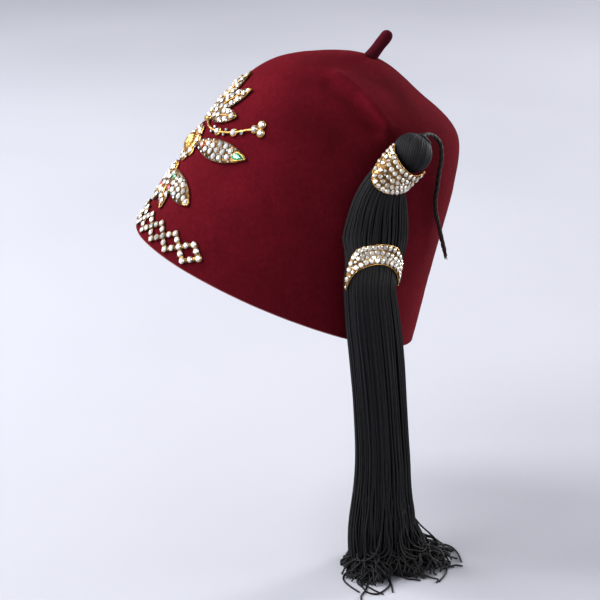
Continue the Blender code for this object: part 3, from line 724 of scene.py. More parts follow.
def felt_ring(turns, station, outward, height=None):
    """A ring of the felt with the small waviness of hand pressing."""
    points = crown_point(turns, station, outward)
    normals = crown_normal(turns, station)
    lift = [sum(wave.outward * noise.noise(Vector(point) / wave.size) for wave in UNEVEN) for point in points]
    points = points + normals * np.array(lift)[:, None]
    if height is not None:
        points[:, 2] = height
    return leaned(points)


def add_crown(felt, edge):
    """The shell with its rim and its painted light and shade; returns its surface for rays."""
    turns = -tau * np.arange(CROWN_TURNS) / CROWN_TURNS
    outer = [FIRST_ROW + (1 - FIRST_ROW) * row / WALL_ROWS for row in range(WALL_ROWS)]
    outer += [1 + (APEX - 1.012) * row / DOME_ROWS for row in range(DOME_ROWS + 1)]
    inner = [FIRST_ROW + (APEX - 0.02 - FIRST_ROW) * row / INNER_ROWS for row in range(INNER_ROWS + 1)]
    shape = Shape()
    loft(shape, [felt_ring(turns, station, 0.0) for station in outer], (False, True))
    loft(shape, [felt_ring(turns, station, -FELT) for station in reversed(inner)], (True, False))
    rim = [felt_ring(turns, 0.0, outward, height) for outward, height in RIM_EDGE]
    loft(shape, rim, (False, False), slot=1)
    crown = shape.piece("felt_crown", [felt, edge], "felt", "crown")
    points = np.concatenate(shape.points)
    upright = points @ np.array(LEAN)
    # painted light and shade at the points, put into the colour
    shades = 1 + sum(shading_mark.change * near_route(upright, shading_mark) for shading_mark in PAINTED_SHADING)
    nap = crown.data.attributes.new("nap", "FLOAT_COLOR", "POINT")
    nap.data.foreach_set("color", np.column_stack([shades] * 3 + [np.ones(len(shades))]).ravel())
    return BVHTree.FromPolygons(points.tolist(), shape.faces)


STEM_SIDES = 28
STEM_ROWS = 30
STEM_SIGHT = 10


def add_stem(felt, tree):
    """The stalk, whose foot follows the felt below it."""
    lean = radians(STEM_LEAN)
    axis = LEAN @ Vector((0.0, sin(lean), cos(lean)))
    side = LEAN @ Vector((1.0, 0.0, 0.0))
    front = axis.cross(side)

    def on_felt(point, gap):
        return tree.ray_cast(point + axis * STEM_SIGHT, -axis)[0] + axis * gap

    foot = on_felt(LEAN @ Vector((*STEM_FOOT, TOP_HEIGHT)), GAP)
    rings = []
    for row in range(STEM_ROWS + 1):
        along = STEM[-1].station * (row / STEM_ROWS) ** 0.9
        radius = smooth_row(STEM, along, ["radius"])[0]
        ring = []
        for index in range(STEM_SIDES):
            turn = tau * index / STEM_SIDES
            outward = side * cos(turn) + front * sin(turn)
            bulge = 1 + 0.05 * noise.noise((foot + outward * 4 + axis * along) / 5.0)
            point = foot + axis * along + outward * radius * bulge
            ring.append(point if row else on_felt(point, GAP / 2))
        rings.append(ring)
    shape = Shape()
    loft(shape, rings)
    shape.piece("felt_stem", [felt], "stem_felt", "stem")


# ---- stones and their settings ----

STONE_SLOT = 1
# slots of darker copies of the gold: painted shade, and painted half shade between the stones of the collar
# and clasp
SHADED_GOLD_SLOT = 2
HALF_SHADED_GOLD_SLOT = 3
CLEAR = (0.97, 0.97, 0.94)
CREAM = (1.0, 0.95, 0.85)
SMOKE = (0.40, 0.43, 0.47)
GREEN = (0.03, 0.48, 0.20)
RED = (0.72, 0.03, 0.06)
GIRDLE = 0.42
# the girdle's painted shade, a dark outline round each stone
GIRDLE_PAINTED_SHADE = 0.4
TABLE_SHARE = 0.55
CUP_WALL = 0.16
CUP_SIDES = 12
CROWN_SHARE = 0.40
STAR_SHARE = 0.79
STAR_RISE = 0.52
GIRDLE_DEPTH = 0.16
STONE_TILT = (-0.07, 0.07)
CLAW_SIZES = (0.24, 0.22, 0.16)
# painted reflections of the stones: how bright clear stones show, a few of them painted dull, and painted
# glints of the facets seen through their tables
STONE_PAINTED_BRIGHTNESS = (1.0, 1.0, 1.0, 0.94, 0.86, 0.62)
TABLE_PAINTED_GLINTS = (1.0, 1.0, 1.0, 0.95, 0.85, 0.55)
# the least painted brightness of a stone's star, kite and lower facets, their painted glints
FACET_PAINTED_GLINTS = (0.55, 0.55, 0.35, 0.35)
stone_draw = Draw(11)


def surface_frame(shape, across, up):
    """Foot, normal and two directions in the surface, at a spot of the shape's flat layout."""
    foot = shape.bend(across, up, 0.0)
    normal = unit(shape.bend(across, up, 1.0) - foot)
    aside = shape.bend(across + 0.4, up, 0.0) - shape.bend(across - 0.4, up, 0.0)
    aside = unit(aside - normal * (aside @ normal))
    return foot, normal, aside, np.cross(normal, aside)


def circle_at(spot, radius, height, sides, start=0.0, tilt=(0.0, 0.0)):
    foot, normal, aside, along = spot
    turns = start + tau * np.arange(sides) / sides
    ring = np.outer(np.cos(turns), aside) + np.outer(np.sin(turns), along)
    lift = height + radius * (np.cos(turns) * tilt[0] + np.sin(turns) * tilt[1])
    return foot + ring * radius + lift[:, None] * normal


def add_brilliant(shape, spot, radius, girdle, start, tilt, colour):
    """A round stone with a table, eight stars, eight kites and a girdle; facets with painted glints, a girdle
    in painted shade.
    """
    draw = stone_draw
    crown = CROWN_SHARE * radius
    cut = (
        (TABLE_SHARE * radius, girdle + crown, 8, start),
        (STAR_SHARE * radius, girdle + crown * STAR_RISE, 8, start + tau / 16),
        (radius, girdle, 16, start),
        (radius, girdle - GIRDLE_DEPTH * radius, 16, start),
    )
    rings = [circle_at(spot, *ring, tilt) for ring in cut]
    points = np.concatenate([*rings, [rings[0].mean(axis=0)]])
    faces, shades = [], []
    for index in range(8):
        after, star, rim = (index + 1) % 8, 8 + index, 16 + 2 * index
        faces += [(len(points) - 1, index, after), (index, star, after)]
        faces += [(index, 8 + (index - 1) % 8, rim, star), (star, rim, rim + 1)]
        faces.append((star, rim + 1, 16 + (2 * index + 2) % 16))
        shades += [draw.choice(TABLE_PAINTED_GLINTS), *[draw(least, 1.0) for least in FACET_PAINTED_GLINTS]]
    for index in range(16):
        after = (index + 1) % 16
        faces.append((16 + index, 32 + index, 32 + after, 16 + after))
    shades += [GIRDLE_PAINTED_SHADE] * 16
    warm = draw(-0.02, 0.06)
    # painted brightness of the whole stone: a few clear ones painted dull
    depth = draw.choice(STONE_PAINTED_BRIGHTNESS) if colour in (CLEAR, CREAM) else 1.0
    body = (depth * (colour[0] + 0.4 * warm), depth * colour[1], depth * (colour[2] - warm))
    tints = [tuple(held(channel) * shade for channel in body) for shade in shades]
    shape.add(points, faces, STONE_SLOT, tints, smooth=False)


def add_cup(shape, spot, radius, base, girdle, start, claws):
    """A thin cup from a plate to a stone's girdle, and the claws that reach over it."""
    wall = radius + CUP_WALL
    cup = ((radius * 0.80, base - 0.5), (wall, base - 0.1))
    cup += ((wall, girdle - 0.05), (radius - 0.02, girdle - 0.02))
    rings = [circle_at(spot, size, height, CUP_SIDES) for size, height in cup]
    # the cup in the gold's painted shade
    loft(shape, rings, (False, False), slot=SHADED_GOLD_SLOT)
    foot, normal, aside, along = spot
    bends = ((radius + 0.10, base + 0.05), (radius + 0.12, girdle + 0.10))
    bends += ((radius * 0.90, girdle + CROWN_SHARE * radius * 0.42),)
    for claw in range(claws):
        turn = start + tau * (claw + 0.25) / claws
        out = aside * cos(turn) + along * sin(turn)
        tube(shape, [foot + out * reach + normal * height for reach, height in bends], CLAW_SIZES, 5)


def add_stone(shape, across, up, radius, colour=CLEAR, base=PLATE_TOP, claws=4):
    """A round stone in its cup, tilted a little."""
    spot = surface_frame(shape, across, up)
    tilt = (stone_draw(*STONE_TILT), stone_draw(*STONE_TILT))
    start = stone_draw(0, tau)
    girdle = base + GIRDLE * min(1.0, radius / 2)
    add_brilliant(shape, spot, radius, girdle, start, tilt, colour)
    add_cup(shape, spot, radius, base, girdle, start, claws)


def about(up, reach, turn):
    """A spot of the flat layout, round a middle at that height."""
    return reach * cos(turn), up + reach * sin(turn)


def add_beads(shape, up, reach, count, radius):
    """A ring of half beads on a plate."""
    for index in range(count):
        spot = surface_frame(shape, *about(up, reach, tau * index / count))
        low = PLATE_TOP + 0.6 * radius
        rings = [circle_at(spot, radius * cos(a), low + radius * sin(a), 7) for a in (-0.4, 0.25, 0.85)]
        loft(shape, rings, (False, True))


def add_wire(shape, spots, height, radius, slot=0):
    """A beaded wire along a flat route."""
    path = [shape.bend(across, up, height) for across, up in spots]
    beads = radius * (1 + 0.28 * np.sin(np.arange(len(path)) * pi * 0.5))
    tube(shape, path, beads, 5, slot=slot)


def add_disc(shape, across, up, radius, sides=24):
    """A round plate with a rounded edge."""
    spot = surface_frame(shape, across, up)
    steps = ((0.0, PLATE_FOOT), (0.0, PLATE_TOP - 0.35), (0.3, PLATE_TOP - 0.05), (radius * 0.5, PLATE_TOP))
    loft(shape, [circle_at(spot, radius - inset, height, sides) for inset, height in steps])


# ---- the ornaments of the front ----

WIRE_STEP = 0.55
LEAF_ROWS = 26
LEAF_DOME = 0.35
MIDRIB = 0.62
MIDRIB_STEPS = 24
# a leaf's section: share of its half width, and height
LEAF_TOP = [(side / 4, PLATE_TOP - 0.25 + LEAF_DOME * (1 - (side / 4) ** 2)) for side in range(-4, 5)]
LEAF_SECTION = LEAF_TOP + [(side, PLATE_FOOT) for side in (1.0, 0.0, -1.0)]

# half of a pointed stone's outline: shares of its length and of its half width
POINTED = ((0.0, 0.0), (0.10, 0.66), (0.34, 1.0), (0.68, 0.62), (1.0, 0.0))
POINTED_MIDDLE = 0.42
POINTED_HALF = 2.7
POINTED_LEAST = 3.4

# coloured stones: of the drop by heading of the leaf and place in it, and between those of a dense leaf
ACCENTS = {("ornament_drop", 108, 1): GREEN, ("ornament_drop", 144, 2): RED}
DENSE_ACCENTS = {3: RED, 9: GREEN}


def leaf_width(leaf, along):
    return leaf.half_width * sin(pi * held(along / leaf.length) ** 1.2) ** 0.75


def leaf_spot(leaf, along, aside):
    heading = radians(leaf.heading)
    across = leaf.across + sin(heading) * along + cos(heading) * aside
    return across, leaf.up + cos(heading) * along - sin(heading) * aside


def leaf_point(leaf, along, aside, height):
    return on_crown(*leaf_spot(leaf, along, aside), height)


def leaf_stones(leaf):
    """Spots along a leaf, as many side by side as it has room for: along, aside."""
    spots = []
    along = LEAF_FIRST[leaf.plate]
    need = 2 * LEAF_STONE + LEAF_STONE_SPACE
    while along < leaf.length - LEAF_STONE - LEAF_BARE_TIP:
        room = leaf_width(leaf, along) - MARGIN
        rows = min(leaf.rows, int(2 * room / need)) if along > LEAF_SINGLE_UNTIL else 1
        reach = room - LEAF_STONE if rows == 2 and leaf.rows == 2 else need * (rows - 1) / 2
        for row in range(rows):
            spots.append((along, 0.0 if rows == 1 else -reach + 2 * reach * row / (rows - 1)))
        along += LEAF_PITCH
    return spots


def leaves_of(plate):
    """A plate's leaves, on both sides of the middle."""
    leaves = []
    for leaf in LEAVES:
        if leaf.plate == plate:
            leaves.append(leaf)
            if leaf.heading not in (0, 180):
                leaves.append(leaf._replace(across=-leaf.across, heading=-leaf.heading))
    return leaves


def add_leaf_plate(shape, leaf):
    """A thin domed plate with a beaded wire round it."""
    rings = []
    for row in range(LEAF_ROWS + 1):
        along = leaf.length * (0.5 - 0.5 * cos(pi * row / LEAF_ROWS))
        width = max(leaf_width(leaf, along), 0.35)
        rings.append([leaf_point(leaf, along, side * width, height) for side, height in LEAF_SECTION])
    # the plate and its wires in the gold's painted shade
    loft(shape, rings[::-1], slot=SHADED_GOLD_SLOT)
    steps = int(leaf.length / WIRE_STEP)
    for sign in (1, -1):
        alongs = [leaf.length * step / steps for step in range(steps + 1)]
        spots = [leaf_spot(leaf, along, sign * max(leaf_width(leaf, along) - 0.2, 0.2)) for along in alongs]
        add_wire(shape, spots, PLATE_TOP - 0.15, 0.26, SHADED_GOLD_SLOT)


def add_midrib(shape, leaf, start):
    alongs = [start + (leaf.length - start) * step / MIDRIB_STEPS for step in range(MIDRIB_STEPS + 1)]
    path = [leaf_point(leaf, along, 0.0, PLATE_TOP + 0.5) for along in alongs]
    tube(shape, path, np.linspace(MIDRIB, MIDRIB * 0.45, len(path)), 7)


def add_leaf_stone(shape, leaf, along, aside, radius=LEAF_STONE, colour=CLEAR, claws=4):
    add_stone(shape, *leaf_spot(leaf, along, aside), radius, colour, claws=claws)


def add_two_row_leaf(shape, leaf):
    """A leaf with stones in pairs, a rib between them and a pointed stone where it has room."""
    add_leaf_plate(shape, leaf)
    stones = leaf_stones(leaf)
    paired = [along for along, aside in stones if aside]
    point_from = max(along for along, _ in stones) + LEAF_STONE + 0.1
    if leaf.length - point_from > POINTED_LEAST:
        add_pointed_stone(shape, leaf, point_from, CLEAR)
    for index, stone in enumerate(stones):
        colour = ACCENTS.get((leaf.plate, abs(leaf.heading), index), CLEAR)
        add_leaf_stone(shape, leaf, *stone, colour=colour)
    if paired and leaf.rows == 2:
        add_midrib(shape, leaf, paired[0] - 2.6)
    for along, aside in stones:
        ahead = along + LEAF_PITCH / 2
        width = leaf_width(leaf, ahead)
        if aside and ahead < leaf.length - 4 and width > 3.6:
            side = 1 if aside > 0 else -1
            add_leaf_stone(shape, leaf, ahead, side * (width - 1.15), 0.95, SMOKE, 0)


def add_pointed_stone(shape, leaf, start, colour):
    """A faceted stone in a gold rim that runs to a leaf's point."""
    length = leaf.length - start - 0.9
    half = min(POINTED_HALF, leaf_width(leaf, start + 0.34 * length) - 0.5)
    outline = [*POINTED, *[(along, -aside) for along, aside in POINTED[-2:0:-1]]]

    def ring(size, height):
        points = []
        for along, aside in outline:
            ahead = start + length * (POINTED_MIDDLE + (along - POINTED_MIDDLE) * size)
            points.append(leaf_point(leaf, ahead, half * aside * size, height))
        return points

    points = ring(0.52, PLATE_TOP + 1.25) + ring(1.0, PLATE_TOP + 0.45) + ring(1.0, PLATE_TOP)
    faces = [face[::-1] for face in [tuple(range(len(outline))), *grid_faces(3, len(outline))]]
    # painted glints: each facet but the top with its own brightness
    shades = [1.0] + [stone_draw(0.45, 1.0) for _ in faces[1:]]
    tints = [tuple(channel * shade for channel in colour) for shade in shades]
    shape.add(points, faces, STONE_SLOT, tints, smooth=False)
    rim = ring(1.06, PLATE_TOP + 0.25)
    tube(shape, rim + rim[:2], 0.34, 6)


def add_dense_leaf(shape, leaf):
    """A leaf covered in stones, with smoky ones between them and a pointed green one at its end."""
    add_leaf_plate(shape, leaf)
    stones = leaf_stones(leaf)
    last = max(along for along, _ in stones)
    add_pointed_stone(shape, leaf, last - 2.2, GREEN)
    for index, (along, aside) in enumerate(stones):
        if along < last:
            add_leaf_stone(shape, leaf, along, aside, colour=CLEAR if index else RED)
    for index, (along, aside) in enumerate(stones):
        ahead = along + LEAF_PITCH / 2
        if ahead <= last and abs(aside) >= 1:
            near = aside / 2 if abs(aside) > 3 else 0.0
            add_leaf_stone(shape, leaf, ahead, near, 1.05, DENSE_ACCENTS.get(index, SMOKE), 0)
    for sign in (1, -1):
        along = LEAF_FIRST[leaf.plate] - LEAF_PITCH / 2
        while along < leaf.length - 6:
            width = leaf_width(leaf, along)
            if width > 3.4:
                add_leaf_stone(shape, leaf, along, sign * (width - 1.0), 0.85, SMOKE, 0)
            along += LEAF_PITCH


def add_leaf_fan(plate):
    """Two-row leaves round a clear stone in a ring of beads."""
    shape = Shape(on_crown)
    for leaf in leaves_of(plate):
        add_two_row_leaf(shape, leaf)
    add_disc(shape, 0.0, leaf.up, HUB_RADIUS)
    add_stone(shape, 0.0, leaf.up, BERRY, base=PLATE_TOP + 0.2)
    add_beads(shape, leaf.up, 3.75, 10, 0.62)
    return shape


SPRIG_SMOKE = ((18.0, 84.2), (18.4, 88.0), (30.2, 86.6), (29.6, 90.2), (41.4, 92.6))


def add_crest(metals):
    shape = add_leaf_fan("ornament_crest")
    for sign in (1, -1):
        route = smooth_route([(sign * across, up) for across, up in SPRIG_ROUTE], 1.0)
        tube(shape, [on_crown(across, up, 1.25) for across, up in route], 0.85, 8)
        for across, up in SPRIG_BERRIES:
            add_disc(shape, sign * across, up, BERRY_PLATE, 16)
            add_stone(shape, sign * across, up, BERRY)
        for across, up in SPRIG_SMOKE:
            add_stone(shape, sign * across, up, 1.1, SMOKE, base=1.3, claws=0)
    shape.piece("crest_setting", metals, "stone_set_metal", "ornament_crest")


# the fluted gold boss in the middle of the flower: radius and height
BOSS = ((6.5, 1.3), (6.4, 2.2), (5.7, 3.2), (4.5, 3.9), (3.0, 4.5), (1.4, 4.85))
BOSS_SIDES = 48
BOSS_FLUTES = 16


def add_rosette(metals):
    shape = Shape(on_crown)
    for leaf in leaves_of("ornament_rosette"):
        add_dense_leaf(shape, leaf)
    add_disc(shape, 0.0, ROSETTE_UP, PETAL_DISC, 48)
    for petal in range(ROSETTE_PETALS):
        spot = about(ROSETTE_UP, PETAL_REACH, tau * (petal + 0.5) / ROSETTE_PETALS)
        add_disc(shape, *spot, PETAL_PLATE)
        add_stone(shape, *spot, PETAL_STONE)
        inner = RED if petal % 4 == 1 else SMOKE
        for reach, size, colour in ((10.4, 1.25, inner), (13.0, 0.9, SMOKE)):
            spot = about(ROSETTE_UP, reach, tau * petal / ROSETTE_PETALS)
            add_stone(shape, *spot, size, colour, claws=0)
    spot = surface_frame(shape, 0.0, ROSETTE_UP)
    flutes = 1 + 0.05 * np.cos(np.arange(BOSS_SIDES) * tau / BOSS_SIDES * BOSS_FLUTES)[:, None]
    rings = []
    for radius, height in BOSS:
        ring = circle_at(spot, radius, height, BOSS_SIDES)
        rings.append(spot[0] + (ring - spot[0]) * (flutes if radius > 2 else 1))
    loft(shape, rings, (False, True))
    add_beads(shape, ROSETTE_UP, 7.2, 22, 0.5)
    shape.piece("rosette_setting", metals, "stone_set_metal", "ornament_rosette")


# the strip's section: share of the stroke, and height
STRIP = ((-0.7, PLATE_FOOT), (-0.7, 1.1), (-0.5, 1.35), (0.0, 1.45), (0.5, 1.35), (0.7, 1.1))
STRIP += ((0.7, PLATE_FOOT),)
STRIP_STEPS = 8
BORDER_BASE = 1.4


def add_border(metals):
    """Open lozenges: two crossing zigzags of plate, with stones at their corners and middles."""
    shape = Shape(on_crown)
    step_across = BORDER_PITCH / 2
    half = BORDER_LOZENGES * step_across
    width = BORDER_STROKE / cos(atan2(BORDER_RISE, step_across))
    nodes = set()
    for sign in (1, -1):
        corners = []
        for step in range(2 * BORDER_LOZENGES + 1):
            rise = sign * BORDER_RISE * sin(pi * step / 2)
            corners.append((-half + step * step_across, round(BORDER_UP + rise, 6)))
        nodes.update(corners)
        route = []
        for corner, after in zip(corners, corners[1:]):
            route += np.linspace(corner, after, STRIP_STEPS, endpoint=False).tolist()
        rings = []
        for across, up in route + corners[-1:]:
            rings.append([on_crown(across, up + width * side, height) for side, height in STRIP])
        # the strips in the gold's painted shade
        loft(shape, rings, slot=SHADED_GOLD_SLOT)
    for end in (-half, half):
        add_disc(shape, end, BORDER_UP, BORDER_STROKE + 0.2, 16)
    for across, up in sorted(nodes):
        add_stone(shape, across, up, BORDER_STONE, base=BORDER_BASE)
    for step in range(2 * BORDER_LOZENGES):
        for rise in (BORDER_RISE / 2, -BORDER_RISE / 2):
            across = -half + (step + 0.5) * step_across
            add_stone(shape, across, BORDER_UP + rise, BORDER_STONE, base=BORDER_BASE)
    shape.piece("border_setting", metals, "stone_set_metal", "front_border")


# ---- collar and clasp ----

PLATE_ROWS = 60
PLATE_LANES = 10
PLATE_EDGE = 0.35
PLATE_DOME = 0.5
EDGE_SLACK = 0.2
STONE_OVERHANG = 0.1
MOST_GROWTH = 1.14
MOST_FILL = 0.9
FILL_SPACE = 0.04
SEARCH_ROWS = 40
SEARCH_STEP = 0.3


class Bow:
    """The flat layout of a crescent plate: what lies between two arcs."""

    def __init__(self, plate):
        self.plate = plate
        self.sign = -1 if plate.horns == "up" else 1
        self.outer, self.inner = self.arc_of(plate.rise), self.arc_of(plate.rise - plate.thickness)

    def arc_of(self, rise):
        half_span = self.plate.half_span
        radius = (half_span**2 + rise**2) / (2 * rise)
        return Arc(radius, rise - radius, atan2(half_span, radius - rise))

    def between(self, share):
        return Arc(*[low + (high - low) * share for low, high in zip(self.inner, self.outer)])

    def place(self, across, up):
        return across + self.plate.aside, -self.plate.horns_along + self.sign * up

    def spot(self, arc, turn):
        return self.place(arc.radius * sin(turn), arc.middle + arc.radius * cos(turn))

    def room(self, at):
        """Distance from a spot to the nearer edge, below zero outside."""
        away = [dist(at, self.place(0.0, arc.middle)) for arc in (self.outer, self.inner)]
        return min(self.outer.radius - away[0], away[1] - self.inner.radius)


def free(at, taken):
    """Distance from a spot to the nearest stone's rim."""
    return min((dist(at, stone[:2]) - stone[2] for stone in taken), default=9.0)


def rows_of(bow):
    """Stones in rows along the two edges in turn, which meet in the middle: across, up, radius."""
    plate = bow.plate
    inset = plate.stone + CRESCENT_EDGE
    apart = max(2 * plate.stone + CRESCENT_SPACE, (plate.thickness - 2 * inset) / (plate.rows - 1))
    placed = []
    for row in range(plate.rows):
        arc, place, inward = (bow.outer, row // 2, -1)
        if row % 2:
            arc, place, inward = (bow.inner, plate.rows - 1 - row // 2, 1)
        lane = arc._replace(radius=arc.radius + inward * (inset + apart * (row // 2)))
        shift = (place % 2) * 0.5 * apart / (lane.radius * arc.reach)
        for step in range(2 * CRESCENT_STEPS):
            share = shift + (step // 2) / CRESCENT_STEPS * (1 if step % 2 else -1)
            at = bow.spot(lane, share * arc.reach)
            if free(at, placed) > plate.stone + CRESCENT_SPACE and bow.room(at) > inset - EDGE_SLACK:
                placed.append((*at, plate.stone))
    return placed


def grow(bow, placed):
    """Lets each stone grow into what is free around it."""
    for index, (across, up, radius) in enumerate(placed):
        around = free((across, up), placed[:index] + placed[index + 1 :]) - CRESCENT_SPACE
        grown = min(around, bow.room((across, up)) + STONE_OVERHANG, MOST_GROWTH * bow.plate.stone)
        placed[index] = (across, up, max(radius, grown))


def fill(bow, placed):
    """Puts smaller stones in the room that is left, in the widest place first."""
    spots = []
    for row in range(1, SEARCH_ROWS):
        arc = bow.between(row / SEARCH_ROWS)
        reach = int(arc.reach * arc.radius / SEARCH_STEP)
        spots += [bow.spot(arc, SEARCH_STEP * index / arc.radius) for index in range(-reach, reach + 1)]
    sizes = {at: min(free(at, placed), bow.room(at) + STONE_OVERHANG) for at in spots}
    while sizes:
        at = max(sizes, key=sizes.get)
        radius = min(sizes[at] - FILL_SPACE, MOST_FILL * bow.plate.stone)
        if radius < SMALLEST_STONE:
            break
        placed.append((*at, radius))
        sizes = {other: min(size, dist(other, at) - radius) for other, size in sizes.items()}
        sizes = {other: size for other, size in sizes.items() if size > SMALLEST_STONE}


def add_bow_plate(shape, bow):
    """A bent plate with rounded faces, and beaded wire at its edges."""
    shares = np.arange(PLATE_LANES + 1) / PLATE_LANES
    lanes = [(share, PLATE_EDGE + PLATE_DOME * (1 - (2 * share - 1) ** 6)) for share in shares]
    lanes += [(share, 0.0) for share in shares[::-2]]
    arcs = [(bow.between(share), BENT_PLATE_FOOT + height) for share, height in lanes]
    rings = []
    for row in range(PLATE_ROWS + 1):
        q = (2 * row / PLATE_ROWS - 1) * (1 - HORN_BLUNT)
        rings.append([on_tassel(*bow.spot(arc, q * arc.reach), height) for arc, height in arcs])
    # the plate in the gold's painted half shade, between the stones
    loft(shape, rings[:: bow.sign], slot=HALF_SHADED_GOLD_SLOT)
    for arc in (bow.outer, bow.inner):
        count = int(2 * arc.radius * arc.reach / WIRE_STEP)
        turns = [(2 * step / count - 1) * (1 - HORN_BLUNT) * arc.reach for step in range(count + 1)]
        add_wire(shape, [bow.spot(arc, turn) for turn in turns], 1.2, 0.24)


def add_crescent(plate, metals):
    shape, bow = Shape(on_tassel), Bow(plate)
    add_bow_plate(shape, bow)
    placed = rows_of(bow)
    grow(bow, placed)
    fill(bow, placed)
    for across, up, radius in placed:
        add_stone(shape, across, up, radius, CREAM, claws=4 if radius > CLAWED_FROM else 0)
    shape.piece(f"{plate.name}_setting", metals, "stone_set_metal", plate.name)


# ---- the tassel ----

STRAND = 0.66
STRAND_SIDES = 5
OUTER_STRANDS = 136
INNER_STRANDS = 290
HEAP_STRANDS = 130
CLUMPS = 41
LOOSE_FROM = 243.0
INNER_FROM = 231.0
CORE_UNTIL = 264
CORE_INSET = 1.9
CORE_NARROWS = 8.0
CORE_NARROWS_FROM = 222
MOUND = 13.5
# painted light: the inner ends' thread lighter, where they lie in shade
ENDS_PAINTED_LIGHT = 1.3
FOOT_FLARE = 3.8
# first station and length of the stretches where strands come free, near their ends, and fan out
FREE = (84, 60)
LOW = (190, 55)
FANNED = (16, 72)
FOOT = np.array([SPINE[-1].x, SPINE[-1].y, FLOOR])
DOWN = np.array([0.0, 0.0, -1.0])

BALL = np.array(SPINE[0][2:5])
BALL_AXIS = unit(BALL - SPINE[2][2:5])
BALL_SIDE = unit(np.cross(BALL_AXIS, -DOWN))
BALL_FRONT = np.cross(BALL_AXIS, BALL_SIDE)
BALL_CORE = BALL_RADIUS - 1.0
# the ball's core darkened as painted shade between its windings
BALL_CORE_PAINTED_SHADE = (0.5, 0.5, 0.5)
KNOB_THREADS = 46
WINDING_DEPTH = 0.62
WINDING_LIFT = (-0.16, 0.12)
WINDING_TWIST = 0.55
WINDING_WAVER = (-0.05, 0.05)
WINDING_TINT = 1.5
# rings of the eye: angle from the ball's top, and radius of the thread
EYE_RINGS = ((0.20, 0.75), (0.36, 0.7))
NECK_TURNS = (12.0, 13.5, 15.0, 16.5, 18.0)
NECK_INSET = 1.6
NECK_THREAD = 0.75

# a strand's end: the steps of its bend, the strength and size of its swirls, the shares of its reach at
# which it turns back and stops, and how fast it settles on the heap
BEND_STEPS = 14
SWIRL = 1.3
SWIRL_SIZE = 12.0
TURNS_BACK = 0.88
STOPS = 1.06
SETTLES = 0.35
# its waves and length, and its turn in each step near the edge of the heap
END_WAVE = (0.3, 1.0)
END_WAVELENGTH = (8.0, 16.0)
END_RUN = (13.0, 36.0)
EDGE_TURNS = (-0.10, 0.10)


def thread_tint(draw, bright=1.0):
    """The slightly different black of one strand."""
    shade = draw(0.65, 1.5)
    return tuple(bright * shade * draw(*span) for span in ((0.90, 1.06), (0.95, 1.10), (0.95, 1.18)))


def on_ball(polar, turn, radius):
    """A point round the ball's middle; polar 0 is its top, and pi its neck."""
    out = BALL_SIDE * cos(turn) + BALL_FRONT * sin(turn)
    return BALL + radius * (out * sin(polar) + BALL_AXIS * cos(polar))


def wind_ball(shape, draw):
    """The ball's core, darkened as painted shade, and the threads wound over it from its top to its neck."""
    polars = np.linspace(0.1, 3.04, 16)
    core = [[on_ball(polar, tau * index / 24, BALL_CORE) for index in range(24)] for polar in polars]
    loft(shape, core[::-1], tint=BALL_CORE_PAINTED_SHADE)
    polars = np.linspace(0.16, 2.95, 30)
    for index in range(KNOB_THREADS):
        start = tau * index / KNOB_THREADS
        radius = BALL_RADIUS - WINDING_DEPTH + draw(*WINDING_LIFT)
        twist = WINDING_TWIST + draw(*WINDING_WAVER)
        path = [on_ball(polar, start + twist * (polar - 1.5), radius) for polar in polars]
        tube(shape, path, 0.34 + 0.52 * np.sin(polars), 6, tint=thread_tint(draw, WINDING_TINT))


def add_eye(shape):
    """The eye at the ball's top, and the first stretch of the cord that comes out of it."""
    for polar, size in EYE_RINGS:
        turns = np.linspace(0, tau, 28)
        path = [on_ball(polar + 0.03 * sin(3 * turn), turn, BALL_RADIUS + 0.15) for turn in turns]
        tube(shape, path, size, 6, tint=(0.9, 1.0, 1.0))
    start = np.array(CORD_ROUTE[0])
    pole = on_ball(0.0, 0.0, BALL_CORE)
    path = smooth_route([pole, (pole + start) / 2 + (start - BALL) * 0.06, start], 0.8)
    tube(shape, path, 1.15, 8, tint=(1.0, 1.1, 1.1))


def add_knob(finish):
    """A ball wound with thread, its eye, and turns of thread round its neck."""
    draw = Draw(3)
    shape = Shape()
    wind_ball(shape, draw)
    add_eye(shape)
    for station in NECK_TURNS:
        path = [tassel_point(station, turn, -NECK_INSET) for turn in np.linspace(0, tau, 40)]
        tube(shape, path, NECK_THREAD, 6, tint=thread_tint(draw))
    shape.piece("tassel_knob_winding", [finish], "thread", "tassel_knob")


# directions the ends are combed towards: the middle, how wide it draws from, and how strongly
FLOWS = ((82.0, 62.0, 0.75), (312.0, 48.0, 0.7))

# ends that stray from the heap: points over the floor, from the middle of the bundle's foot
STRAYS = (
    ((9, -26), (14, -33), (22, -35.5), (31, -33), (40, -28.5)),
    ((26, -27), (34, -25), (41, -23), (44, -18), (41, -13), (33, -7), (25, -6)),
    ((22, -5), (28, -5.5), (35, -6), (43, -7)),
    ((26, -24), (34, -21), (40, -17.5), (45, -13.5)),
    ((30, -21), (38, -24), (45, -28), (50, -29)),
    ((-18, 34), (-19, 41), (-13, 46), (-2, 47.5), (8, 47)),
    ((2, 33), (11, 36), (19, 34.5), (26, 31), (33, 26)),
    ((10, 30), (14, 36), (12, 42), (14, 46.5)),
    ((20, 16), (27, 22), (30, 26), (34, 24)),
    ((20, 2), (27, 7), (28, 11), (30, 14)),
    ((-6, -20), (-10, -25), (-4, -28), (4, -28)),
    ((-16, 10), (-24, 14), (-30, 10), (-33, 3)),
    ((-10, 26), (-20, 32), (-27, 30), (-31, 24)),
)


def end_reach(angle):
    """How far the ends lie out over the floor in a direction."""
    place = (angle / tau * len(END_REACHES)) % len(END_REACHES)
    low = int(place)
    q = place - low
    q = q * q * (3 - 2 * q)
    return END_REACHES[low] * (1 - q) + END_REACHES[(low + 1) % len(END_REACHES)] * q


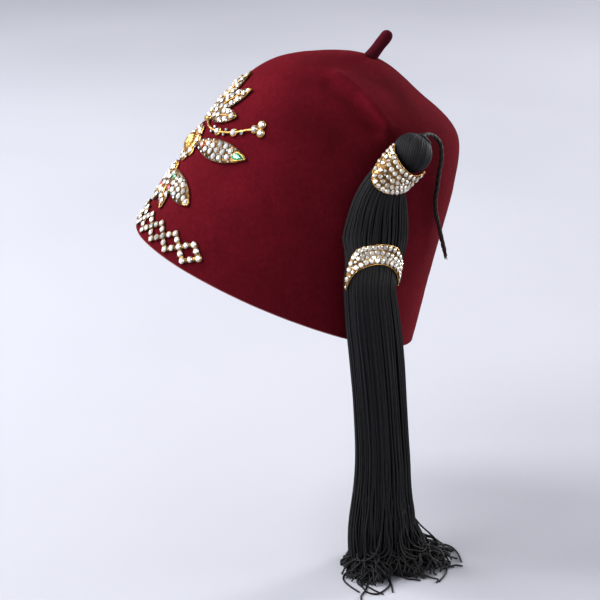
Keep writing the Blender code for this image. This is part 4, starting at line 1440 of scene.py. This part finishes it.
def heap_top(share, level):
    """Height at which a strand lies on the heap of ends, at a share of its reach."""
    return FLOOR + STRAND + level * MOUND * max(0.0, 1.0 - share * share) ** 0.8


def on_heap(turn, share, level):
    """A spot on the heap, in a direction from the bundle's foot."""
    spot = FOOT + level_way(turn) * end_reach(turn) * share
    spot[2] = heap_top(share, level)
    return spot


def from_foot(point):
    """Distance over the floor from the middle of the bundle's foot, and its direction."""
    x, y = point[:2] - FOOT[:2]
    return float(np.linalg.norm((x, y))), atan2(y, x)


def strand_end(draw, start, ahead, level, landing_share, reach_share):
    """The end of a strand: it bends onto the heap and lies over it and the floor in waves."""
    out, turn = from_foot(start)
    turn += draw.gauss(0.0, 0.12)
    flow = turn
    for middle, width, pull in FLOWS:
        off = (turn - radians(middle) + pi) % tau - pi
        flow -= pull * off * exp(-((off / radians(width)) ** 2))
    flow += draw.gauss(0.0, 0.35)
    reach = end_reach(turn)
    landing_share = max(landing_share, min(out / reach, 0.96))
    landing = on_heap(turn, landing_share, level)
    fall = start[2] - landing[2]
    lead = 0.04 + 0.26 * held((reach * landing_share - out) / 8.0)
    arrival = landing - level_way(flow, -0.1) * lead * fall
    leaving = start + ahead * 0.55 * fall
    path = bend_between(start, leaving, arrival, landing, np.arange(1, BEND_STEPS + 1) / BEND_STEPS)
    wave, length = draw(*END_WAVE), draw(*END_WAVELENGTH)
    phase, curl = draw(0, tau), draw.gauss(0.0, 0.8)
    limit, edge_turn = draw(*END_RUN), draw.choice(EDGE_TURNS)
    point, run, turned = landing, 0.0, 0.0
    while run < limit:
        run += 1.0
        swirl = SWIRL * noise.noise(Vector((point[0] / SWIRL_SIZE, point[1] / SWIRL_SIZE, 1.5 * level)))
        heading = flow + wave * sin(tau * run / length + phase) + curl * (run / 25) ** 2 + swirl + turned
        point = point + level_way(heading)
        away, angle = from_foot(point)
        share = away / (end_reach(angle) * reach_share)
        if share > STOPS and run > 4.0:
            break
        if share > TURNS_BACK:
            turned += edge_turn
        point[2] += SETTLES * (heap_top(share, level) - point[2])
        path.append(point)
    return path


def directions(draw, count, spread):
    """Directions round the tassel, each a little off an even step."""
    for index in range(count):
        yield tau * (index + draw(-spread, spread)) / count


def strand_path(draw, turn, depth, start, step):
    """A strand down the tassel, from a station to where it leaves the bundle."""
    count = int((LOOSE_FROM - start) / step)
    drift, phase = draw(0.0, 0.05), draw(0, tau)
    loose = draw(-0.30, 0.30)
    path = []
    for index in range(count + 1):
        station = start + (LOOSE_FROM - start) * index / count
        freed, low, fanned = [held((station - first) / length) for first, length in (FREE, LOW, FANNED)]
        fanned = sin(pi * fanned)
        angle = turn + drift * freed * sin(station / 45 + phase)
        angle += 0.03 * low * sin(station / 6 + 2 * phase) + 0.038 * fanned * sin(station / 17 + 3 * phase)
        clump = cos(CLUMPS * turn + 1.7 * sin(3 * turn) + station / 150)
        lift = (0.30 + 0.16 * freed) * clump + loose * (0.6 + freed)
        lift += 0.9 * freed * noise.noise(Vector((4 * cos(turn), 4 * sin(turn), station / 70)))
        point = tassel_point(station, angle, lift - STRAND, depth)
        point[1] -= FOOT_FLARE * low**2 * max(0.0, FOOT[1] - point[1]) / SPINE[-1].half_width
        path.append(point)
    return path


def add_core(finish):
    """The inside of the bundle, darkened as painted shade, which closes it behind the strands and narrows to
    its foot.
    """
    shape = Shape()
    rings = []
    for station in np.linspace(TASSEL_TOP, CORE_UNTIL, 60):
        low = max(0.0, (station - CORE_NARROWS_FROM) / (CORE_UNTIL - CORE_NARROWS_FROM))
        inset = CORE_INSET + CORE_NARROWS * low**1.5
        rings.append([tassel_point(station, tau * i / 36, -inset - 0.4 * (i % 2)) for i in range(36)])
    # painted shade: the core darker than the strands
    loft(shape, rings, tint=(0.45, 0.45, 0.45))
    shape.piece("tassel_core", [finish], "thread", "tassel")


def add_strands(finish):
    """The strands that show from the neck down, and the inner ones that show at the foot."""
    draw = Draw(23)
    shape = Shape()
    for turn in directions(draw, OUTER_STRANDS, 0.3):
        path = strand_path(draw, turn, 1.0, TASSEL_TOP, 5.0)
        level, landing = draw(0.25, 1.0), draw(0.45, 0.74)
        ahead = unit(path[-1] - path[-2])
        path += strand_end(draw, path[-1], ahead, level, landing, draw(0.75, 1.05))
        tube(shape, path, STRAND, STRAND_SIDES, tint=thread_tint(draw))
    shape.piece("tassel_strands", [finish], "thread", "tassel")
    shape = Shape()
    for turn in directions(draw, INNER_STRANDS, 0.5):
        depth = draw(0.35, 0.86)
        path = strand_path(draw, turn, depth, INNER_FROM, 6.0)
        level, landing = draw(0.0, 1.0), depth * draw(0.35, 0.85)
        path += strand_end(draw, path[-1], DOWN, level, landing, draw(0.75, 1.04))
        # painted light: the inner ends lighter than the rest
        tint = thread_tint(draw, ENDS_PAINTED_LIGHT)
        tube(shape, path, STRAND * draw(0.85, 1.0), STRAND_SIDES, tint=tint)
    shape.piece("tassel_inner_ends", [finish], "thread", "tassel")


# where the heap's strands leave the bundle and land, how they lean round it, and their waves and length
HEAP_FROM = (228.0, 247.0)
HEAP_LEVEL = (0.9, 1.7)
HEAP_LANDING = (0.40, 0.80)
HEAP_LEAN = (0.9, 1.5)
HEAP_WAVE = (0.3, 0.9)
HEAP_WAVELENGTH = (9.0, 19.0)
HEAP_RUN = (10.0, 40.0)


def add_heap(finish):
    """Strands that bend over at the foot of the bundle and lie round it in waves, on top of the heap."""
    draw = Draw(31)
    shape = Shape()
    for turn in directions(draw, HEAP_STRANDS, 0.5):
        start = tassel_point(draw(*HEAP_FROM), turn, -STRAND - draw(0.0, 1.2))
        out, angle = from_foot(start)
        way, level = draw.choice((-1, 1)), draw(*HEAP_LEVEL)
        angle += way * draw(0.1, 0.5)
        share = max(draw(*HEAP_LANDING), out / end_reach(angle) * 0.97)
        landing = on_heap(angle, share, level)
        landing[2] = min(landing[2], start[2] - 2.0)
        lean = draw(*HEAP_LEAN)
        fall = start[2] - landing[2] + 3.0
        arrival = landing - 0.5 * fall * level_way(angle + way * lean, -0.2)
        path = [start - 4.0 * DOWN]
        path += bend_between(start, start + 0.5 * fall * DOWN, arrival, landing, np.arange(9) / 8)
        wave, length, phase = draw(*HEAP_WAVE), draw(*HEAP_WAVELENGTH), draw(0, tau)
        point, limit = landing, draw(*HEAP_RUN)
        for run in range(1, int(limit)):
            angle = from_foot(point)[1]
            heading = angle + way * (lean - 0.9 * run / limit) + wave * sin(tau * run / length + phase)
            point = point + level_way(heading)
            share = from_foot(point)[0] / end_reach(angle)
            if share > 1.0:
                break
            point[2] += 0.4 * (heap_top(share, level) - point[2])
            path.append(point)
        tube(shape, path, STRAND * draw(0.85, 1.0), STRAND_SIDES, tint=thread_tint(draw))
    shape.piece("tassel_heap", [finish], "thread", "tassel")


def add_strays(finish):
    """Single ends that curl out of the heap onto the floor."""
    draw = Draw(8)
    shape = Shape()
    for stray in STRAYS:
        way = atan2(stray[0][1], stray[0][0])
        route = [(15 * cos(way), 15 * sin(way), 22.0), (19 * cos(way), 18 * sin(way), 10.0)]
        route += [(x, y, STRAND) for x, y in stray]
        path = smooth_route(FOOT + route, 1.0)
        path[:, 2] = np.maximum(path[:, 2], FLOOR + STRAND)
        tube(shape, path, np.linspace(STRAND, 0.55, len(path)), 6, tint=thread_tint(draw))
    shape.piece("tassel_stray_ends", [finish], "thread", "tassel")


# ---- the scene ----

add_camera()
thread = thread_material("thread_black", (0.0064, 0.0060, 0.0073))
add_cord(thread)
add_stage()
add_lights()
felt = felt_material("felt_red", (0.096, 0.0041, 0.0093), (0.117, 0.0050, 0.0112), (0.16, 0.010, 0.020), True)
stem_felt = felt_material("felt_stem", (0.050, 0.004, 0.010), (0.080, 0.007, 0.015), (0.12, 0.02, 0.03))
edge = felt_material("felt_cut_edge", (0.30, 0.12, 0.12), (0.42, 0.22, 0.20), (0.5, 0.3, 0.28))
gold = gold_material("gold_tone", (0.20, 0.095, 0.022), (0.50, 0.27, 0.07), (0.80, 0.52, 0.20))
# darker copies of the gold: painted shade, and painted half shade between the stones
dark = gold_material("gold_in_shade", (0.020, 0.012, 0.007), (0.085, 0.045, 0.014), (0.30, 0.16, 0.05))
half_shaded_gold = gold_material("gold_half_shaded", (0.05, 0.027, 0.012), (0.19, 0.10, 0.032), (0.52, 0.32, 0.13))
metals = [gold, stone_material("cut_stone"), dark]
add_stem(stem_felt, add_crown(felt, edge))
add_crest(metals)
add_rosette(metals)
add_leaf_fan("ornament_drop").piece("drop_setting", metals, "stone_set_metal", "ornament_drop")
add_border(metals)
for plate in (COLLAR, CLASP):
    add_crescent(plate, metals + [half_shaded_gold])
for add_thread in (add_knob, add_core, add_strands, add_heap, add_strays):
    add_thread(thread)
bpy.context.scene.view_settings.view_transform = "Standard"

boxes = {"cad": cad_box, "visual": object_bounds()}
{name: [list(corner) for corner in box] for name, box in boxes.items()}
